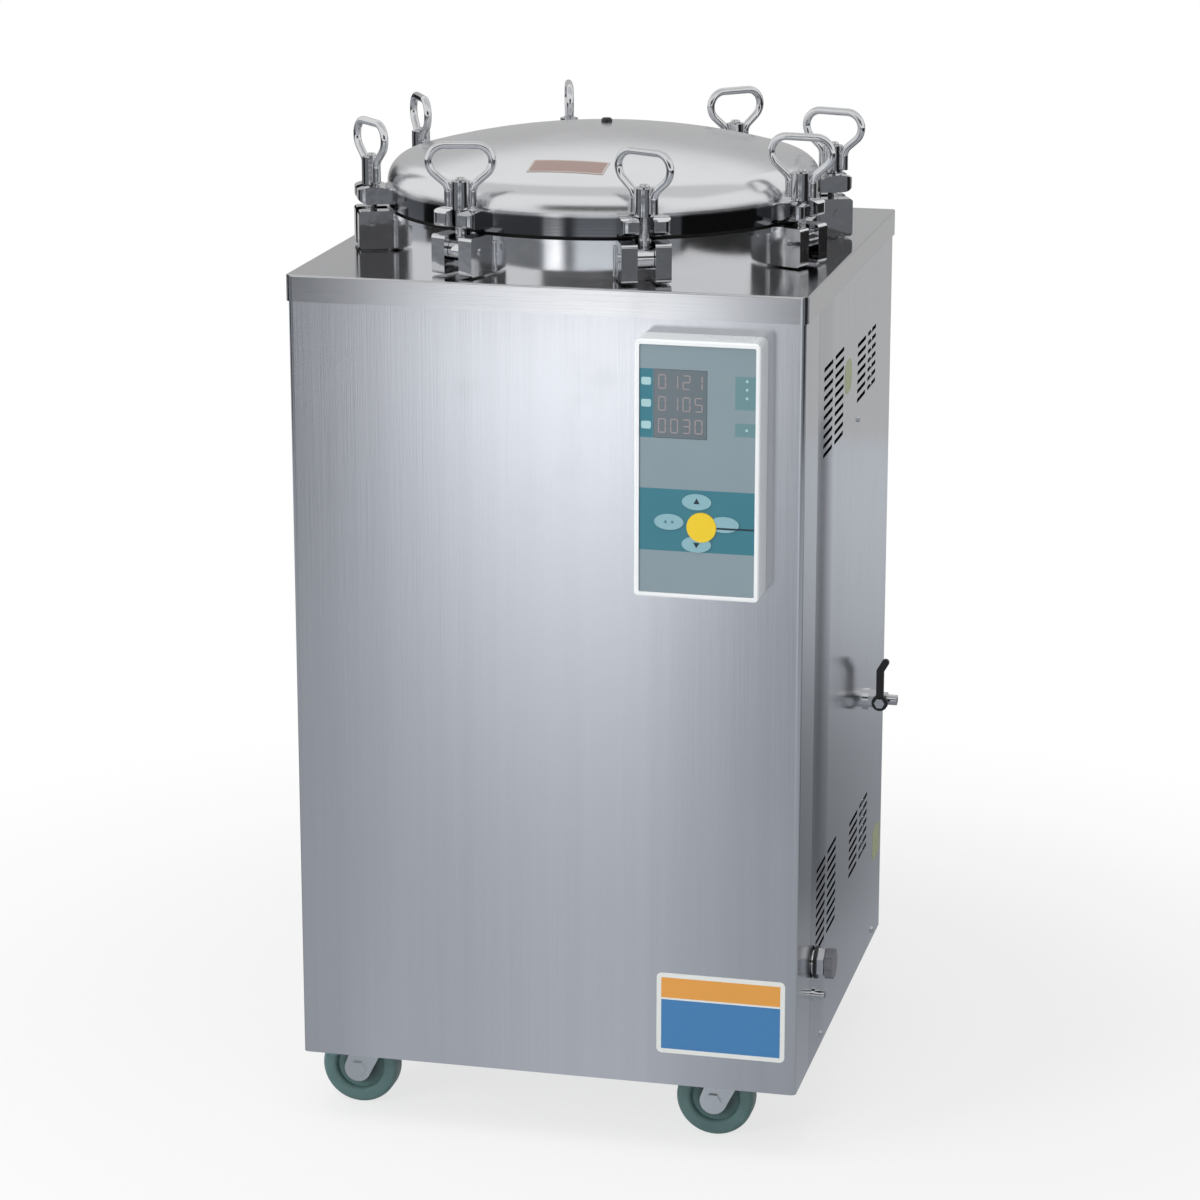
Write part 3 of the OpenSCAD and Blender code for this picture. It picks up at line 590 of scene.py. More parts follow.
def wheel_finish(number):
    """Grey green rubber that darkens towards the axle, with dust on the running face."""
    axle = joints["wheel_roll_%d" % number]["pos_m"]
    finish = new_finish("wheel_rubber_%d" % number)
    place = finish.place()
    x, z = finish.split(place)[::2]
    from_axle = ((x - axle[0]) ** 2.0 + (z - axle[2]) ** 2.0) ** 0.5
    outer = finish.ramp(from_axle, *HUB_FADE)
    dust = finish.ramp(from_axle, *TREAD) * finish.noise(place, 130.0, 4.0)
    cloud = finish.noise(place, 60.0, 3.0)
    rubber = finish.mix(cloud, paint(78, 106, 106), paint(104, 136, 134))
    body = finish.mix(outer, paint(58, 76, 78), rubber)
    return finish.surface({
        "Base Color": finish.mix(dust * 0.6, body, paint(150, 152, 146)),
        "Roughness": (cloud - 0.5) * 0.2 + 0.50,
        "Normal": finish.bump(cloud, 0.0002),
    })


bezel_plastic = moulded("white_bezel", paint(240, 243, 245), 0.30, 700.0, 0.00002, 0.03)
black_plastic = moulded("black_plastic", paint(28, 28, 31), 0.40, 800.0, 0.00003)
grey_plastic = moulded("grey_plastic", paint(128, 128, 136), 0.42, 800.0, 0.00003)
seal_rubber = moulded("seal_rubber", paint(26, 26, 27), 0.65, 500.0, 0.00006)
print("plastics and rubber ready")

# %% [markdown]
# ## The printed face of the control unit
#
# The face is a film printed from behind: grey blue, with a teal band under the keys and a teal strip beside
# the display. Ink has no thickness, so it belongs in the finish and not in the mesh. Each printed field is
# a mask that is 1 inside its edges, worked out from the place on the face, and the masks lay one colour
# over another.

# %% Printed face
face_low, face_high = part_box("control_face")
FACE_X = (face_low.x + face_high.x) / 2
FACE_Z = (face_low.z + face_high.z) / 2
FACE_HALF = (face_high.x - face_low.x) / 2
KEY_RISE = 0.001
ROUND_KEY_RISE = 0.0006
FACE_Y = face_low.y + KEY_RISE + ROUND_KEY_RISE
KEYS_Z = -0.0585
KEY_STEP_X = 0.031
KEY_STEP_Z = 0.024
KEY_HALF_L = 0.0165
KEY_HALF_H = 0.009
ROUND_KEY_R = 0.0165
ROUND_KEY_X = 0.0055
ROUND_KEY_Z = KEYS_Z - 0.0045
DISPLAY_X = -0.019
DISPLAY_Z = 0.074
DISPLAY_W = 0.060
DISPLAY_H = 0.077
BAND = (-0.0915, -0.0213)
STRIP = (-FACE_HALF, -0.0495)
LAMP_FIELDS = ((0.042, FACE_HALF, 0.071, 0.108), (0.042, FACE_HALF, 0.041, 0.056))
LEADER_HALF = 0.0011
PRINT_SLACK = 0.0002
FILM = paint(134, 151, 159)
TEAL = paint(56, 120, 136)
PALE_TEAL = paint(137, 179, 189)
YELLOW = paint(238, 203, 38)
DARK_INK = paint(26, 48, 62)
LAMP_INK = paint(104, 141, 146)


def inside(value, low, high):
    return value.above(low) * (1 - value.above(high))


def oval(x, z, half_x, half_z):
    """1 within an ellipse round the place where x and z are 0."""
    return 1 - ((x * (1 / half_x)) ** 2.0 + (z * (1 / half_z)) ** 2.0).above(1.0)


def printed_face():
    finish = new_finish("printed_face")
    place = finish.place()
    across, up = finish.split(place)[::2]
    x = across - FACE_X
    z = up - FACE_Z
    cloud = finish.noise(place, 9.0, 3.0)
    grains = finish.noise(place, 900.0, 2.0)
    colour = finish.mix(cloud, tinted(FILM, 0.94), tinted(FILM, 1.06))
    colour = finish.mix(inside(z, *BAND), colour, TEAL)
    strip = inside(x, *STRIP) * inside(z, DISPLAY_Z - DISPLAY_H / 2, DISPLAY_Z + DISPLAY_H / 2)
    colour = finish.mix(strip, colour, TEAL)
    for left, right, low, high in LAMP_FIELDS:
        colour = finish.mix(inside(x, left, right) * inside(z, low, high), colour, LAMP_INK)
    for step_x, step_z in ((KEY_STEP_X, 0), (-KEY_STEP_X, 0), (0, KEY_STEP_Z), (0, -KEY_STEP_Z)):
        key = oval(x - step_x, z - (KEYS_Z + step_z), KEY_HALF_L, KEY_HALF_H)
        colour = finish.mix(key, colour, PALE_TEAL)
    leader = inside(z, ROUND_KEY_Z - LEADER_HALF, ROUND_KEY_Z + LEADER_HALF)
    colour = finish.mix(leader * inside(x, ROUND_KEY_X, FACE_HALF), colour, DARK_INK)
    printed_r = ROUND_KEY_R + PRINT_SLACK
    disc = oval(x - ROUND_KEY_X, z - ROUND_KEY_Z, printed_r, printed_r)
    colour = finish.mix(disc, colour, YELLOW)
    return finish.surface({
        "Base Color": colour,
        "Roughness": (cloud - 0.5) * 0.10 + (grains - 0.5) * 0.06 + 0.34,
        "Normal": finish.bump(grains, 0.00001),
    })


face_film = printed_face()
print("face printed, middle at", round(FACE_X, 4), round(FACE_Z, 4))

# %% [markdown]
# ## Finishes on the solid pieces
#
# Each solid piece takes one finish, looked up by its name. The drain valve is one solid of bright metal and
# black plastic. It could be cut in two, but its collar is a plain slice, so a mask by the place along the
# valve's axis turns the metal into plastic there.

# %% Finish the solid pieces
DRAIN_SEAT = 0.0019
DRAIN_COLLAR = 0.0042
COLLAR_DROP = 0.004


def drain_finish():
    """Bright valve whose collar against the panel is black plastic."""
    finish = new_finish("drain_fitting")
    place = finish.place()
    x, z = finish.split(place)[::2]
    collar_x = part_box("drain_valve")[0].x + DRAIN_SEAT
    collar = inside(x, collar_x, collar_x + DRAIN_COLLAR) * z.above(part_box("drain_knob")[0].z - COLLAR_DROP)
    rubbed = finish.ramp(finish.noise(place, 240.0, 3.0, 0.6), *RUBBED)
    return finish.surface({
        "Base Color": finish.mix(collar, BRIGHT_TONE, paint(26, 26, 28)),
        "Metallic": 1 - collar,
        "Roughness": rubbed * 0.12 + collar * 0.30 + 0.12,
    })


FINISH_OF = {
    "front_cover": sheet_steel, "side_panel_left": side_steel, "side_panel_right": side_steel,
    "back_panel": sheet_steel, "top_plate": plate_steel, "base_plate": base_steel,
    "control_housing": bezel_plastic, "control_face": face_film,
    "chamber": chamber_steel, "vessel_flange": vessel_steel, "lid_gasket": seal_rubber,
    "lid": lid_steel, "lid_vent": black_plastic,
    "vessel_lugs": clamp_steel, "lid_lugs": clamp_steel, "lug_pins": clamp_steel,
    "caster_mounts": zinc, "exhaust_valve": clamp_steel, "exhaust_lever": black_plastic,
    "drain_valve": drain_finish(), "drain_knob": grey_plastic,
}
FINISH_OF_KIND = {"eye_bolt": clamp_steel, "ring_nut": clamp_steel, "caster_fork": zinc}
for number in range(1, 5):
    FINISH_OF["caster_wheel_%d" % number] = wheel_finish(number)
for name, solid in nodes.items():
    finish = FINISH_OF.get(name) or FINISH_OF_KIND[name.rsplit("_", 1)[0]]
    solid.data.materials.clear()
    solid.data.materials.append(finish)
print("finished solids:", len(nodes))

# %% [markdown]
# ## Tools for modelling by hand
#
# The small pieces are modelled as one does it at the screen: add a simple shape, go into edit mode, pick
# faces or edges, and use an operator on them. Picking by hand becomes a test on each face or edge. A
# finished piece has its place in its mesh and rides on one of the machine's bodies.

# %% Modelling tools
FACING_FRONT = (math.pi / 2, 0, 0)
FACING_RIGHT = (math.pi / 2, 0, math.pi / 2)
FACING_LEFT = (math.pi / 2, 0, -math.pi / 2)
FACING_BACK = (math.pi / 2, 0, math.pi)


def only(piece):
    deselect()
    piece.select_set(True)
    bpy.context.view_layer.objects.active = piece


def begin(name):
    """Names the primitive that was just added, makes its size its own and opens it in edit mode."""
    piece = bpy.context.object
    piece.name = name
    bpy.ops.object.transform_apply(location=True, rotation=True, scale=True)
    bpy.ops.object.mode_set(mode="EDIT")
    return piece


def choose(piece, kind, test):
    """In edit mode, selects just the VERT, EDGE or FACE parts that pass a test."""
    bpy.ops.mesh.select_mode(type=kind)
    bpy.ops.mesh.select_all(action="DESELECT")
    mesh = bmesh.from_edit_mesh(piece.data)
    mesh.normal_update()
    for part in {"VERT": mesh.verts, "EDGE": mesh.edges, "FACE": mesh.faces}[kind]:
        if test(part):
            part.select_set(True)
    bmesh.update_edit_mesh(piece.data)


def paint_faces(piece, slot_number, test):
    """In edit mode, gives the faces that pass a test one of the piece's finishes."""
    mesh = bmesh.from_edit_mesh(piece.data)
    for face in mesh.faces:
        if test(face):
            face.material_index = slot_number
    bmesh.update_edit_mesh(piece.data)


def set_down(piece, place=(0, 0, 0), turn=(0, 0, 0)):
    """Leaves edit mode and puts the piece's place into its mesh."""
    if bpy.context.mode != "OBJECT":
        bpy.ops.object.mode_set(mode="OBJECT")
    only(piece)
    piece.location = place
    piece.rotation_euler = turn
    bpy.ops.object.transform_apply(location=True, rotation=True, scale=True)
    return piece


def shape_by(piece, kind, **settings):
    """Adds a modifier with its settings and applies it."""
    only(piece)
    modifier = piece.modifiers.new(kind.lower(), kind)
    for name, value in settings.items():
        setattr(modifier, name, value)
    bpy.ops.object.modifier_apply(modifier=modifier.name)


def copies(pattern, name, places):
    """Copies a pattern to each place and turn and joins the copies into one piece."""
    made = []
    for place, turn in places:
        only(pattern)
        bpy.ops.object.duplicate(linked=False)
        made.append(set_down(bpy.context.object, place, turn))
    only(made[0])
    for piece in made:
        piece.select_set(True)
    if len(made) > 1:
        bpy.ops.object.join()
    whole = bpy.context.object
    whole.name = name
    return whole


def remove(piece):
    only(piece)
    bpy.ops.object.delete()


def fit(piece, body, slot, *finishes):
    """Finishes a piece and lets it ride on a body. The slot it is given is not used."""
    for finish in finishes:
        piece.data.materials.append(finish)
    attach(piece, body)
    print(piece.name, "with", len(piece.data.polygons), "faces on", body)


def plate(name, width, height, thick, corner):
    """A thin plate with round corners and a soft upper edge, facing up, left open in edit mode."""
    deselect()
    bpy.ops.mesh.primitive_cube_add(size=1, location=(0, 0, thick / 2), scale=(width, height, thick))
    piece = begin(name)
    choose(piece, "EDGE", lambda edge: abs(edge.verts[0].co.z - edge.verts[1].co.z) > thick / 2)
    bpy.ops.mesh.bevel(offset=corner, segments=6)
    choose(piece, "FACE", lambda face: face.normal.z > 0.9)
    bpy.ops.mesh.bevel(offset=thick / 3, segments=2)
    return piece


print("modelling tools ready")

# %% [markdown]
# ## The display
#
# A glossy window fills the recess in the face. Three rows of four figures show on it, each made of up to
# seven bars. Text would give letters and not bars, so one bar is modelled as a six sided prism drawn out to
# points, and every bar that is on is a copy of it.

# %% Display window and figures
WINDOW_GAP = 0.0003
WINDOW_THICK = 0.0009
WINDOW_CORNER = 0.0012
RECESS = 0.001
BAR_L = 0.0075
BAR_W = 0.0016
BAR_T = 0.0002
FLANK_STRETCH = 1.6
FIGURE_PITCH = 0.0136
ROW_PITCH = 0.0245
ROWS = ("0121", "0105", "0030")
LIT_BARS = {"0": "abcdef", "1": "bc", "2": "abged", "3": "abgcd", "5": "afgcd"}
BAR_PLACES = {"a": (0, 1, 90), "b": (0.5, 0.5, 0), "c": (0.5, -0.5, 0), "d": (0, -1, 90),
              "e": (-0.5, -0.5, 0), "f": (-0.5, 0.5, 0), "g": (0, 0, 90)}

window_plastic = moulded("display_window", paint(97, 109, 116), 0.14, 500.0, 0.00001, 0.05)
figure_ink = moulded("figure_ink", paint(150, 143, 146), 0.45, 700.0, 0.00001, 0.06)

window = plate("display_window", DISPLAY_W - 2 * WINDOW_GAP, DISPLAY_H - 2 * WINDOW_GAP,
               WINDOW_THICK, WINDOW_CORNER)
WINDOW_BACK = FACE_Y + RECESS
set_down(window, (FACE_X + DISPLAY_X, WINDOW_BACK, FACE_Z + DISPLAY_Z), FACING_FRONT)
fit(window, "cabinet", "face_panel", window_plastic)


def lit_bar():
    deselect()
    bpy.ops.mesh.primitive_cylinder_add(vertices=6, radius=BAR_L / 2, depth=BAR_T,
                                        location=(0, 0, BAR_T / 2))
    bar = begin("lit_bar")
    bpy.ops.mesh.select_all(action="SELECT")
    bpy.ops.transform.resize(value=(BAR_W / (BAR_L * math.sin(math.pi / 3)), 1, 1))
    choose(bar, "VERT", lambda vert: abs(vert.co.x) > BAR_W / 4)
    bpy.ops.transform.resize(value=(1, FLANK_STRETCH, 1))
    bpy.ops.object.mode_set(mode="OBJECT")
    return bar


bar = lit_bar()
bar_spots = []
for row, text in enumerate(ROWS):
    for column, figure in enumerate(text):
        middle_x = (column - 1.5) * FIGURE_PITCH
        middle_z = (1 - row) * ROW_PITCH
        for key in LIT_BARS[figure]:
            step_x, step_z, turn = BAR_PLACES[key]
            spot = (middle_x + step_x * BAR_L, middle_z + step_z * BAR_L, 0)
            bar_spots.append((spot, (0, 0, math.radians(turn))))
figures = copies(bar, "display_figures", bar_spots)
remove(bar)
set_down(figures, (FACE_X + DISPLAY_X, WINDOW_BACK - WINDOW_THICK, FACE_Z + DISPLAY_Z), FACING_FRONT)
fit(figures, "cabinet", "face_panel", figure_ink)

# %% [markdown]
# ## Marks on the face
#
# Beside each row of figures is a pale mark, the keys carry arrows and dots, and small lamps sit at the
# right edge. They are a little raised, so they are thin pieces of their own: a plate with round corners, a
# three sided prism with its edges rounded, and a low cylinder with a crowned top.

# %% Marks on the strip and the keys
MARK_X = -0.0572
MARK_W = 0.011
MARK_H = 0.0085
MARK_CORNER = 0.002
INK_T = 0.00015
ARROW_R = 0.0042
ARROW_ROUND = 0.0005
LAMP_R = 0.0016
LAMP_X = 0.055
LAMP_HEIGHTS = (0.103, 0.0935, 0.084, 0.0485)
DOT_GAP = 0.0075

pale_ink = moulded("pale_ink", paint(168, 205, 210), 0.40, 700.0, 0.00001, 0.05)
dark_ink = moulded("dark_ink", DARK_INK, 0.40, 700.0, 0.00001, 0.05)
faint_ink = moulded("faint_ink", paint(84, 126, 138), 0.40, 700.0, 0.00001, 0.05)

mark = plate("row_mark", MARK_W, MARK_H, INK_T, MARK_CORNER)
bpy.ops.object.mode_set(mode="OBJECT")
marks = copies(mark, "row_marks", [((0, (1 - row) * ROW_PITCH, 0), (0, 0, 0)) for row in range(3)])
remove(mark)
set_down(marks, (FACE_X + MARK_X, FACE_Y, FACE_Z + DISPLAY_Z), FACING_FRONT)
fit(marks, "cabinet", "face_panel", pale_ink)

deselect()
bpy.ops.mesh.primitive_cylinder_add(vertices=3, radius=ARROW_R, depth=INK_T, location=(0, 0, INK_T / 2))
arrow = begin("key_arrow")
choose(arrow, "EDGE", lambda edge: abs(edge.verts[0].co.z - edge.verts[1].co.z) > INK_T / 2)
bpy.ops.mesh.bevel(offset=ARROW_ROUND, segments=3)
bpy.ops.object.mode_set(mode="OBJECT")
arrow_spots = [((0, KEY_STEP_Z, 0), (0, 0, 0)), ((0, -KEY_STEP_Z, 0), (0, 0, math.pi))]
arrows = copies(arrow, "key_arrows", arrow_spots)
remove(arrow)
set_down(arrows, (FACE_X, FACE_Y - KEY_RISE, FACE_Z + KEYS_Z), FACING_FRONT)
fit(arrows, "cabinet", "face_panel", dark_ink)

deselect()
bpy.ops.mesh.primitive_cylinder_add(vertices=16, radius=LAMP_R, depth=2 * INK_T, location=(0, 0, INK_T))
lamp = begin("state_lamp")
choose(lamp, "FACE", lambda face: face.normal.z > 0.9)
bpy.ops.mesh.bevel(offset=INK_T, segments=3)
bpy.ops.object.mode_set(mode="OBJECT")
lamp_spots = [((LAMP_X, height, 0), (0, 0, 0)) for height in LAMP_HEIGHTS]
lamps = copies(lamp, "state_lamps", lamp_spots)
dot_spots = [((-KEY_STEP_X + side * DOT_GAP / 2, 0, 0), (0, 0, 0)) for side in (-1, 1)]
dots = copies(lamp, "key_dots", dot_spots)
remove(lamp)
set_down(dots, (FACE_X, FACE_Y - KEY_RISE, FACE_Z + KEYS_Z), FACING_FRONT)
fit(dots, "cabinet", "face_panel", faint_ink)
set_down(lamps, (FACE_X, FACE_Y, FACE_Z), FACING_FRONT)
fit(lamps, "cabinet", "face_panel", pale_ink)

# %% [markdown]
# ## The plate on the front
#
# A two coloured plate sits low on the front. It could be three plates side by side, but one mesh has no
# seams: its face is inset for the pale border, cut in two by a plane, and each half is inset again.

# %% Front plate
PLATE_X = 0.2068
PLATE_Z = 0.1750
PLATE_W = 0.150
PLATE_H = 0.098
PLATE_T = 0.0004
PLATE_CORNER = 0.006
BORDER = 0.0042
HEADER_SHARE = 0.30
FIELD_LINE = 0.0011

front_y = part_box("front_cover")[0].y
border_ink = moulded("plate_border", paint(226, 229, 226), 0.35, 600.0, 0.00001, 0.03)
amber_ink = moulded("plate_amber", paint(226, 158, 70), 0.35, 600.0, 0.00001, 0.06)
blue_ink = moulded("plate_blue", paint(62, 124, 178), 0.35, 600.0, 0.00001, 0.06)

front_plate = plate("front_plate", PLATE_W, PLATE_H, PLATE_T, PLATE_CORNER)
header_y = PLATE_H / 2 - BORDER - HEADER_SHARE * (PLATE_H - 2 * BORDER)
choose(front_plate, "FACE",
       lambda face: face.normal.z > 0.99 and face.calc_area() > PLATE_W * PLATE_H / 2)
bpy.ops.mesh.inset(thickness=BORDER)
bpy.ops.mesh.bisect(plane_co=(0, header_y, 0), plane_no=(0, 1, 0))
choose(front_plate, "FACE",
       lambda face: face.normal.z > 0.99 and face.calc_area() > PLATE_W * PLATE_H / 8)
bpy.ops.mesh.inset(thickness=FIELD_LINE, use_individual=True)
paint_faces(front_plate, 1, lambda face: face.select and face.calc_center_median().y > header_y)
paint_faces(front_plate, 2, lambda face: face.select and face.calc_center_median().y < header_y)
set_down(front_plate, (PLATE_X, front_y, PLATE_Z), FACING_FRONT)
fit(front_plate, "cabinet", "face_panel", border_ink, amber_ink, blue_ink)

# %% [markdown]
# ## The plate on the dome
#
# A brown plate lies on the domed lid and follows its curve. Bending it by hand would have to repeat the
# dome's radius. A flat grid that is projected straight down onto the lid takes the curve from the lid
# itself, and gets its thickness afterwards.

# %% Plate on the dome
DOME_PLATE = (0.001, -0.180)
DOME_PLATE_W = 0.088
DOME_PLATE_D = 0.036
DOME_PLATE_T = 0.0004
DOME_BORDER = 0.0022
DOME_GAP = 0.0001
DROP = 0.05

brown_ink = moulded("dome_plate_brown", paint(146, 120, 112), 0.34, 500.0, 0.00001, 0.14)
tan_ink = moulded("dome_plate_border", paint(182, 172, 166), 0.34, 500.0, 0.00001, 0.05)

deselect()
bpy.ops.mesh.primitive_grid_add(x_subdivisions=22, y_subdivisions=10, size=1,
                                location=(*DOME_PLATE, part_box("lid")[1].z + DROP))
bpy.context.object.scale = (DOME_PLATE_W, DOME_PLATE_D, 1)
dome_plate = begin("dome_plate")
bpy.ops.mesh.select_all(action="SELECT")
bpy.ops.mesh.inset(thickness=DOME_BORDER)
paint_faces(dome_plate, 1, lambda face: not face.select)
bpy.ops.object.mode_set(mode="OBJECT")
shape_by(dome_plate, "SHRINKWRAP", target=nodes["lid"], wrap_method="PROJECT", use_project_z=True,
         use_negative_direction=True, use_positive_direction=False, offset=DOME_GAP)
shape_by(dome_plate, "SOLIDIFY", thickness=DOME_PLATE_T, offset=1.0)
set_down(dome_plate)
fit(dome_plate, "cabinet", "face_panel", brown_ink, tan_ink)

# %% [markdown]
# ## Stickers
#
# Two small plain stickers mark the right side. They are thin enough to be ink, but their edges catch the
# light, so each is a plate with large corners whose face is sunk a little inside a rim.

# %% Side stickers
right_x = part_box("side_panel_right")[1].x
STICKER_T = 0.0003
STICKER_RIM = 0.0015
# Name, place along Y and Z, width, height, corner
STICKERS = (
    ("vent_sticker", -0.016, 0.872, 0.044, 0.040, 0.016),
    ("rear_sticker", 0.252, 0.214, 0.050, 0.044, 0.014),
)

green_ink = moulded("sticker_green", paint(188, 197, 152), 0.40, 500.0, 0.00001, 0.06)
for name, y, z, width, height, corner in STICKERS:
    sticker = plate(name, width, height, STICKER_T, corner)
    choose(sticker, "FACE", lambda face: face.normal.z > 0.99 and face.calc_area() > width * height / 2)
    bpy.ops.mesh.inset(thickness=STICKER_RIM, depth=-STICKER_T / 4)
    set_down(sticker, (right_x, y, z), FACING_RIGHT)
    fit(sticker, "cabinet", "face_panel", green_ink)

# %% [markdown]
# ## Screws
#
# Cross head screws hold the panels. The head starts as a short cylinder, its edge is rounded, and two
# crossed bars are cut out of it. A cross that is only painted would go flat close up.

# %% Panel screws
left_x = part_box("side_panel_left")[0].x
back_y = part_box("back_panel")[1].y
SCREW_R = 0.0042
SCREW_H = 0.0022
SCREW_CROWN = 0.55
CROSS_L = 0.0046
CROSS_W = 0.0011
CROSS_D = 0.0012
LOW_SCREWS_Z = 0.101
SIDE_SCREWS = ((-0.135, LOW_SCREWS_Z), (0.231, LOW_SCREWS_Z), (0.057, 0.806))
BACK_SCREWS_X = 0.258
BACK_SCREWS_Z = (LOW_SCREWS_Z, 0.39, 0.68, 0.97)

deselect()
bpy.ops.mesh.primitive_cylinder_add(vertices=24, radius=SCREW_R, depth=SCREW_H,
                                    location=(0, 0, SCREW_H / 2))
screw = begin("panel_screw")
choose(screw, "FACE", lambda face: face.normal.z > 0.9)
bpy.ops.mesh.bevel(offset=SCREW_H * SCREW_CROWN, segments=4)
bpy.ops.object.mode_set(mode="OBJECT")
for turn in (0, math.pi / 2):
    deselect()
    bpy.ops.mesh.primitive_cube_add(size=1, location=(0, 0, SCREW_H), rotation=(0, 0, turn),
                                    scale=(CROSS_L, CROSS_W, 2 * CROSS_D))
    cutter = bpy.context.object
    shape_by(screw, "BOOLEAN", object=cutter, operation="DIFFERENCE", solver="EXACT")
    remove(cutter)
screw_spots = [((right_x, y, z), FACING_RIGHT) for y, z in SIDE_SCREWS]
screw_spots += [((left_x, y, z), FACING_LEFT) for y, z in SIDE_SCREWS]
screw_spots += [((side * BACK_SCREWS_X, back_y, z), FACING_BACK)
                for side in (-1, 1) for z in BACK_SCREWS_Z]
screws = copies(screw, "panel_screws", screw_spots)
remove(screw)
fit(screws, "cabinet", "bright_steel", zinc)

# %% [markdown]
# ## Weld beads
#
# The lugs are welded to the vessel and to the lid. A smooth bar would look like sealant. A bead is a bar
# that is cut into rings, with every second ring drawn in, which leaves the ripples that a welder's torch
# leaves.

# %% Weld beads on the lugs
swing = [joints["swing_%d" % number]["pos_m"] for number in range(1, 9)]
FLANGE_R = 0.250
LID_R = (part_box("lid")[1].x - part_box("lid")[0].x) / 2
LUG_HALF = 0.028
LUG_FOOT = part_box("top_plate")[1].z + 0.003
LUG_BEAD_L = 0.035
BEAD_R = 0.0022
BEAD_OUT = BEAD_R / 3
RIPPLE = 0.72
LID_LUG_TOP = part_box("lid_lugs")[1].z
LID_BEAD_L = 0.050
LID_BEAD_R = 0.0030
LID_BEAD_IN = 0.0012
LID_BEAD_DROP = 0.0050


def bead(name, length, radius, rings):
    """A straight rippled bead, standing on the origin."""
    deselect()
    bpy.ops.mesh.primitive_cylinder_add(vertices=10, radius=radius, depth=length,
                                        location=(0, 0, length / 2))
    piece = begin(name)
    choose(piece, "EDGE", lambda edge: abs(edge.verts[0].co.z - edge.verts[1].co.z) > length / 2)
    bpy.ops.mesh.subdivide(number_cuts=rings)
    step = length / (rings + 1)
    choose(piece, "VERT", lambda vert: round(vert.co.z / step) % 2 == 0)
    bpy.ops.transform.resize(value=(RIPPLE, RIPPLE, 1))
    set_down(piece)
    bpy.ops.object.shade_smooth()
    return piece


def round_vessel(angle, radius, sideways, height):
    """A place on a circle round the vessel's axis, moved sideways off the angle's own line."""
    along = math.sqrt(radius * radius - sideways * sideways)
    return (along * math.cos(angle) - sideways * math.sin(angle),
            along * math.sin(angle) + sideways * math.cos(angle), height)


clamp_angles = [math.atan2(place[1], place[0]) for place in swing]
upright_bead = bead("upright_bead", LUG_BEAD_L, BEAD_R, 17)
bead_spots = []
for angle in clamp_angles:
    for side in (-1, 1):
        corner = round_vessel(angle, FLANGE_R + BEAD_OUT, side * (LUG_HALF + BEAD_OUT), LUG_FOOT)
        bead_spots.append((corner, (0, 0, angle)))
lug_welds = copies(upright_bead, "lug_welds", bead_spots)
remove(upright_bead)
fit(lug_welds, "cabinet", "bright_steel", weld_steel)

level_bead = bead("level_bead", LID_BEAD_L, LID_BEAD_R, 25)
set_down(level_bead, (0, LID_BEAD_L / 2, 0), (math.pi / 2, 0, 0))
level_spots = [(round_vessel(angle, LID_R - LID_BEAD_IN, 0, LID_LUG_TOP - LID_BEAD_DROP), (0, 0, angle))
               for angle in clamp_angles]
lid_welds = copies(level_bead, "lid_welds", level_spots)
remove(level_bead)
fit(lid_welds, "cabinet", "bright_steel", weld_steel)

# %% [markdown]
# ## Threads and rods of the swing bolts
#
# Each bolt is threaded under its nut and where it stands out above it. Stacked rings would not climb, so a
# small triangle is turned round the bolt and raised at every turn. Short beads join the bent rod to the
# nut's hub. They swing with the bolt, so each bolt has its own copy.

# %% Threads and ring welds
BOLT_R = 0.006
PITCH = 0.00175
CREST = 0.00055
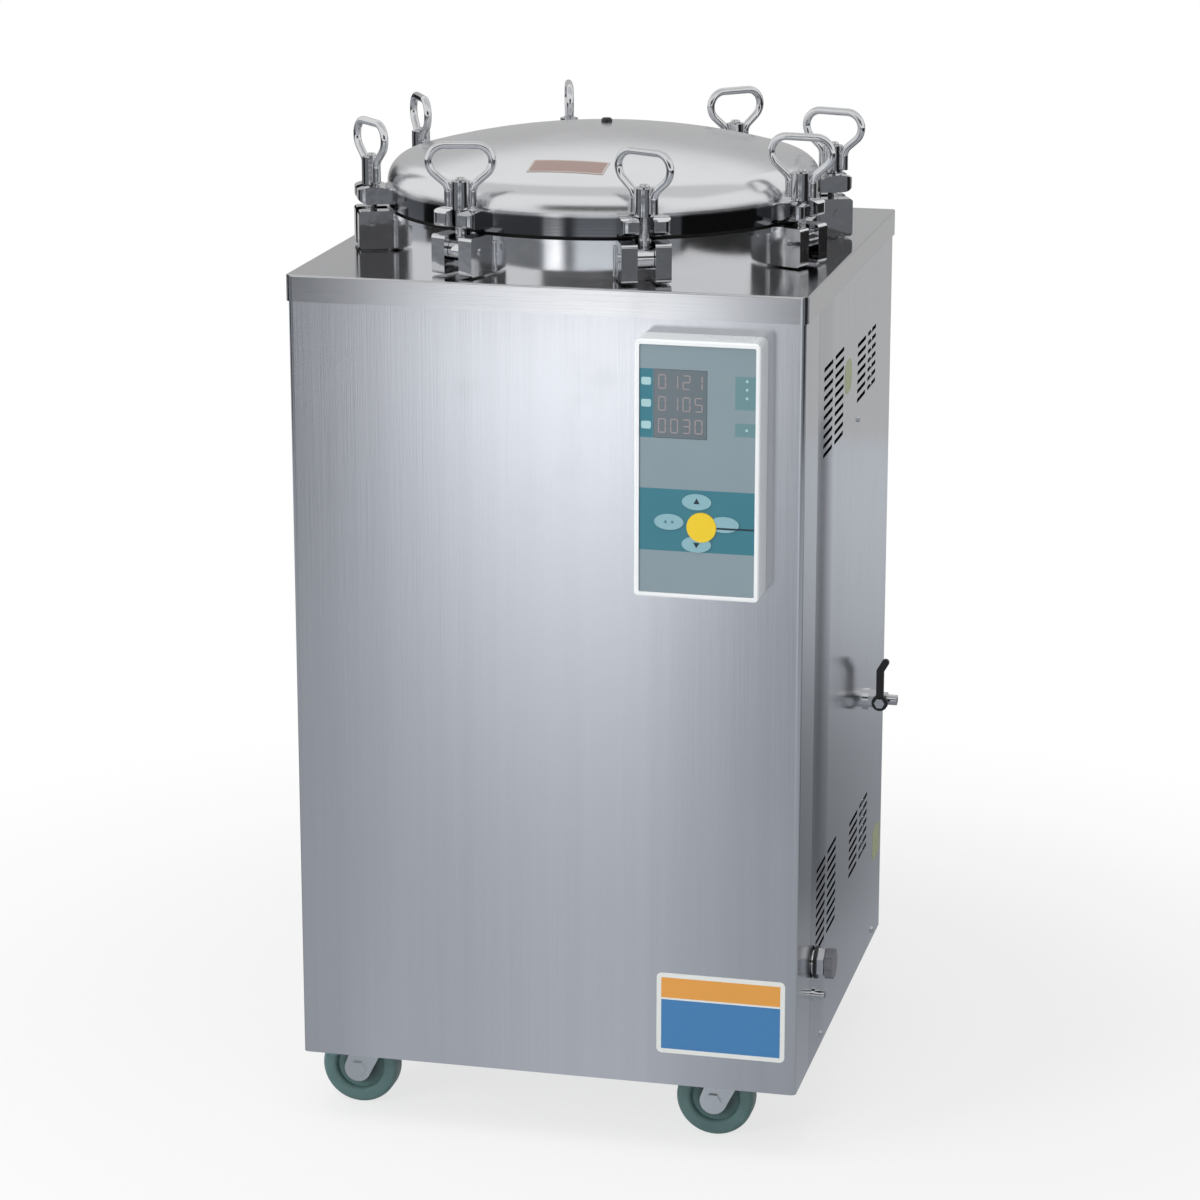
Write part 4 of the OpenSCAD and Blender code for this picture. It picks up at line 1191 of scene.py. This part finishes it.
# Where each ring nut stopped, in degrees
RING_TURNS = (-15, 44, -74, -60, -47, 13, -24, -5)
NUT_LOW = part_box("ring_nut_1")[0].z
HUB_H = 0.031
EYE_R = 0.013
EYE_TOP = swing[0][2] + EYE_R
ROD_BEAD_L = 0.019
ROD_BEAD_R = 0.0013
ROD_BEAD_FOOT = 0.004
ROD_GROOVE = (0.0112, 0.0037)


def thread(name, low, turns):
    """A thread that climbs the bolt from a height by a number of turns, round the Z axis."""
    deselect()
    bpy.ops.mesh.primitive_circle_add(vertices=3, radius=CREST, fill_type="NOTHING",
                                      location=(BOLT_R, 0, 0), rotation=(math.pi / 2, 0, 0))
    piece = begin(name)
    bpy.ops.object.mode_set(mode="OBJECT")
    shape_by(piece, "SCREW", axis="Z", screw_offset=PITCH, iterations=turns, steps=20, render_steps=20)
    bpy.ops.object.mode_set(mode="EDIT")
    for lower in (True, False):
        choose(piece, "EDGE", lambda edge: edge.is_boundary
               and (edge.verts[0].co.z < turns * PITCH / 2) == lower)
        bpy.ops.mesh.edge_face_add()
    bpy.ops.mesh.select_all(action="SELECT")
    bpy.ops.mesh.normals_make_consistent(inside=False)
    return set_down(piece, (0, 0, low))


lower_thread = thread("lower_thread", EYE_TOP, int((NUT_LOW - EYE_TOP) / PITCH) - 1)
upper_thread = thread("upper_thread", NUT_LOW + HUB_H + CREST, 1)
only(upper_thread)
lower_thread.select_set(True)
bpy.ops.object.join()
bolt_thread = bpy.context.object
rod_bead = bead("rod_bead", ROD_BEAD_L, ROD_BEAD_R, 13)
groove_spots = [((side * ROD_GROOVE[0], face * ROD_GROOVE[1], NUT_LOW + ROD_BEAD_FOOT), (0, 0, 0))
                for side in (-1, 1) for face in (-1, 1)]
rod_beads = copies(rod_bead, "rod_beads", groove_spots)
remove(rod_bead)
for number, place in enumerate(swing, start=1):
    body = "swing_bolt_%d" % number
    foot = (place[0], place[1], 0)
    own_thread = copies(bolt_thread, "bolt_thread_%d" % number, [(foot, (0, 0, 0))])
    fit(own_thread, body, "bright_steel", clamp_steel)
    turn = (0, 0, math.radians(RING_TURNS[number - 1]))
    own_welds = copies(rod_beads, "ring_welds_%d" % number, [(foot, turn)])
    fit(own_welds, body, "bright_steel", weld_steel)
remove(bolt_thread)
remove(rod_beads)
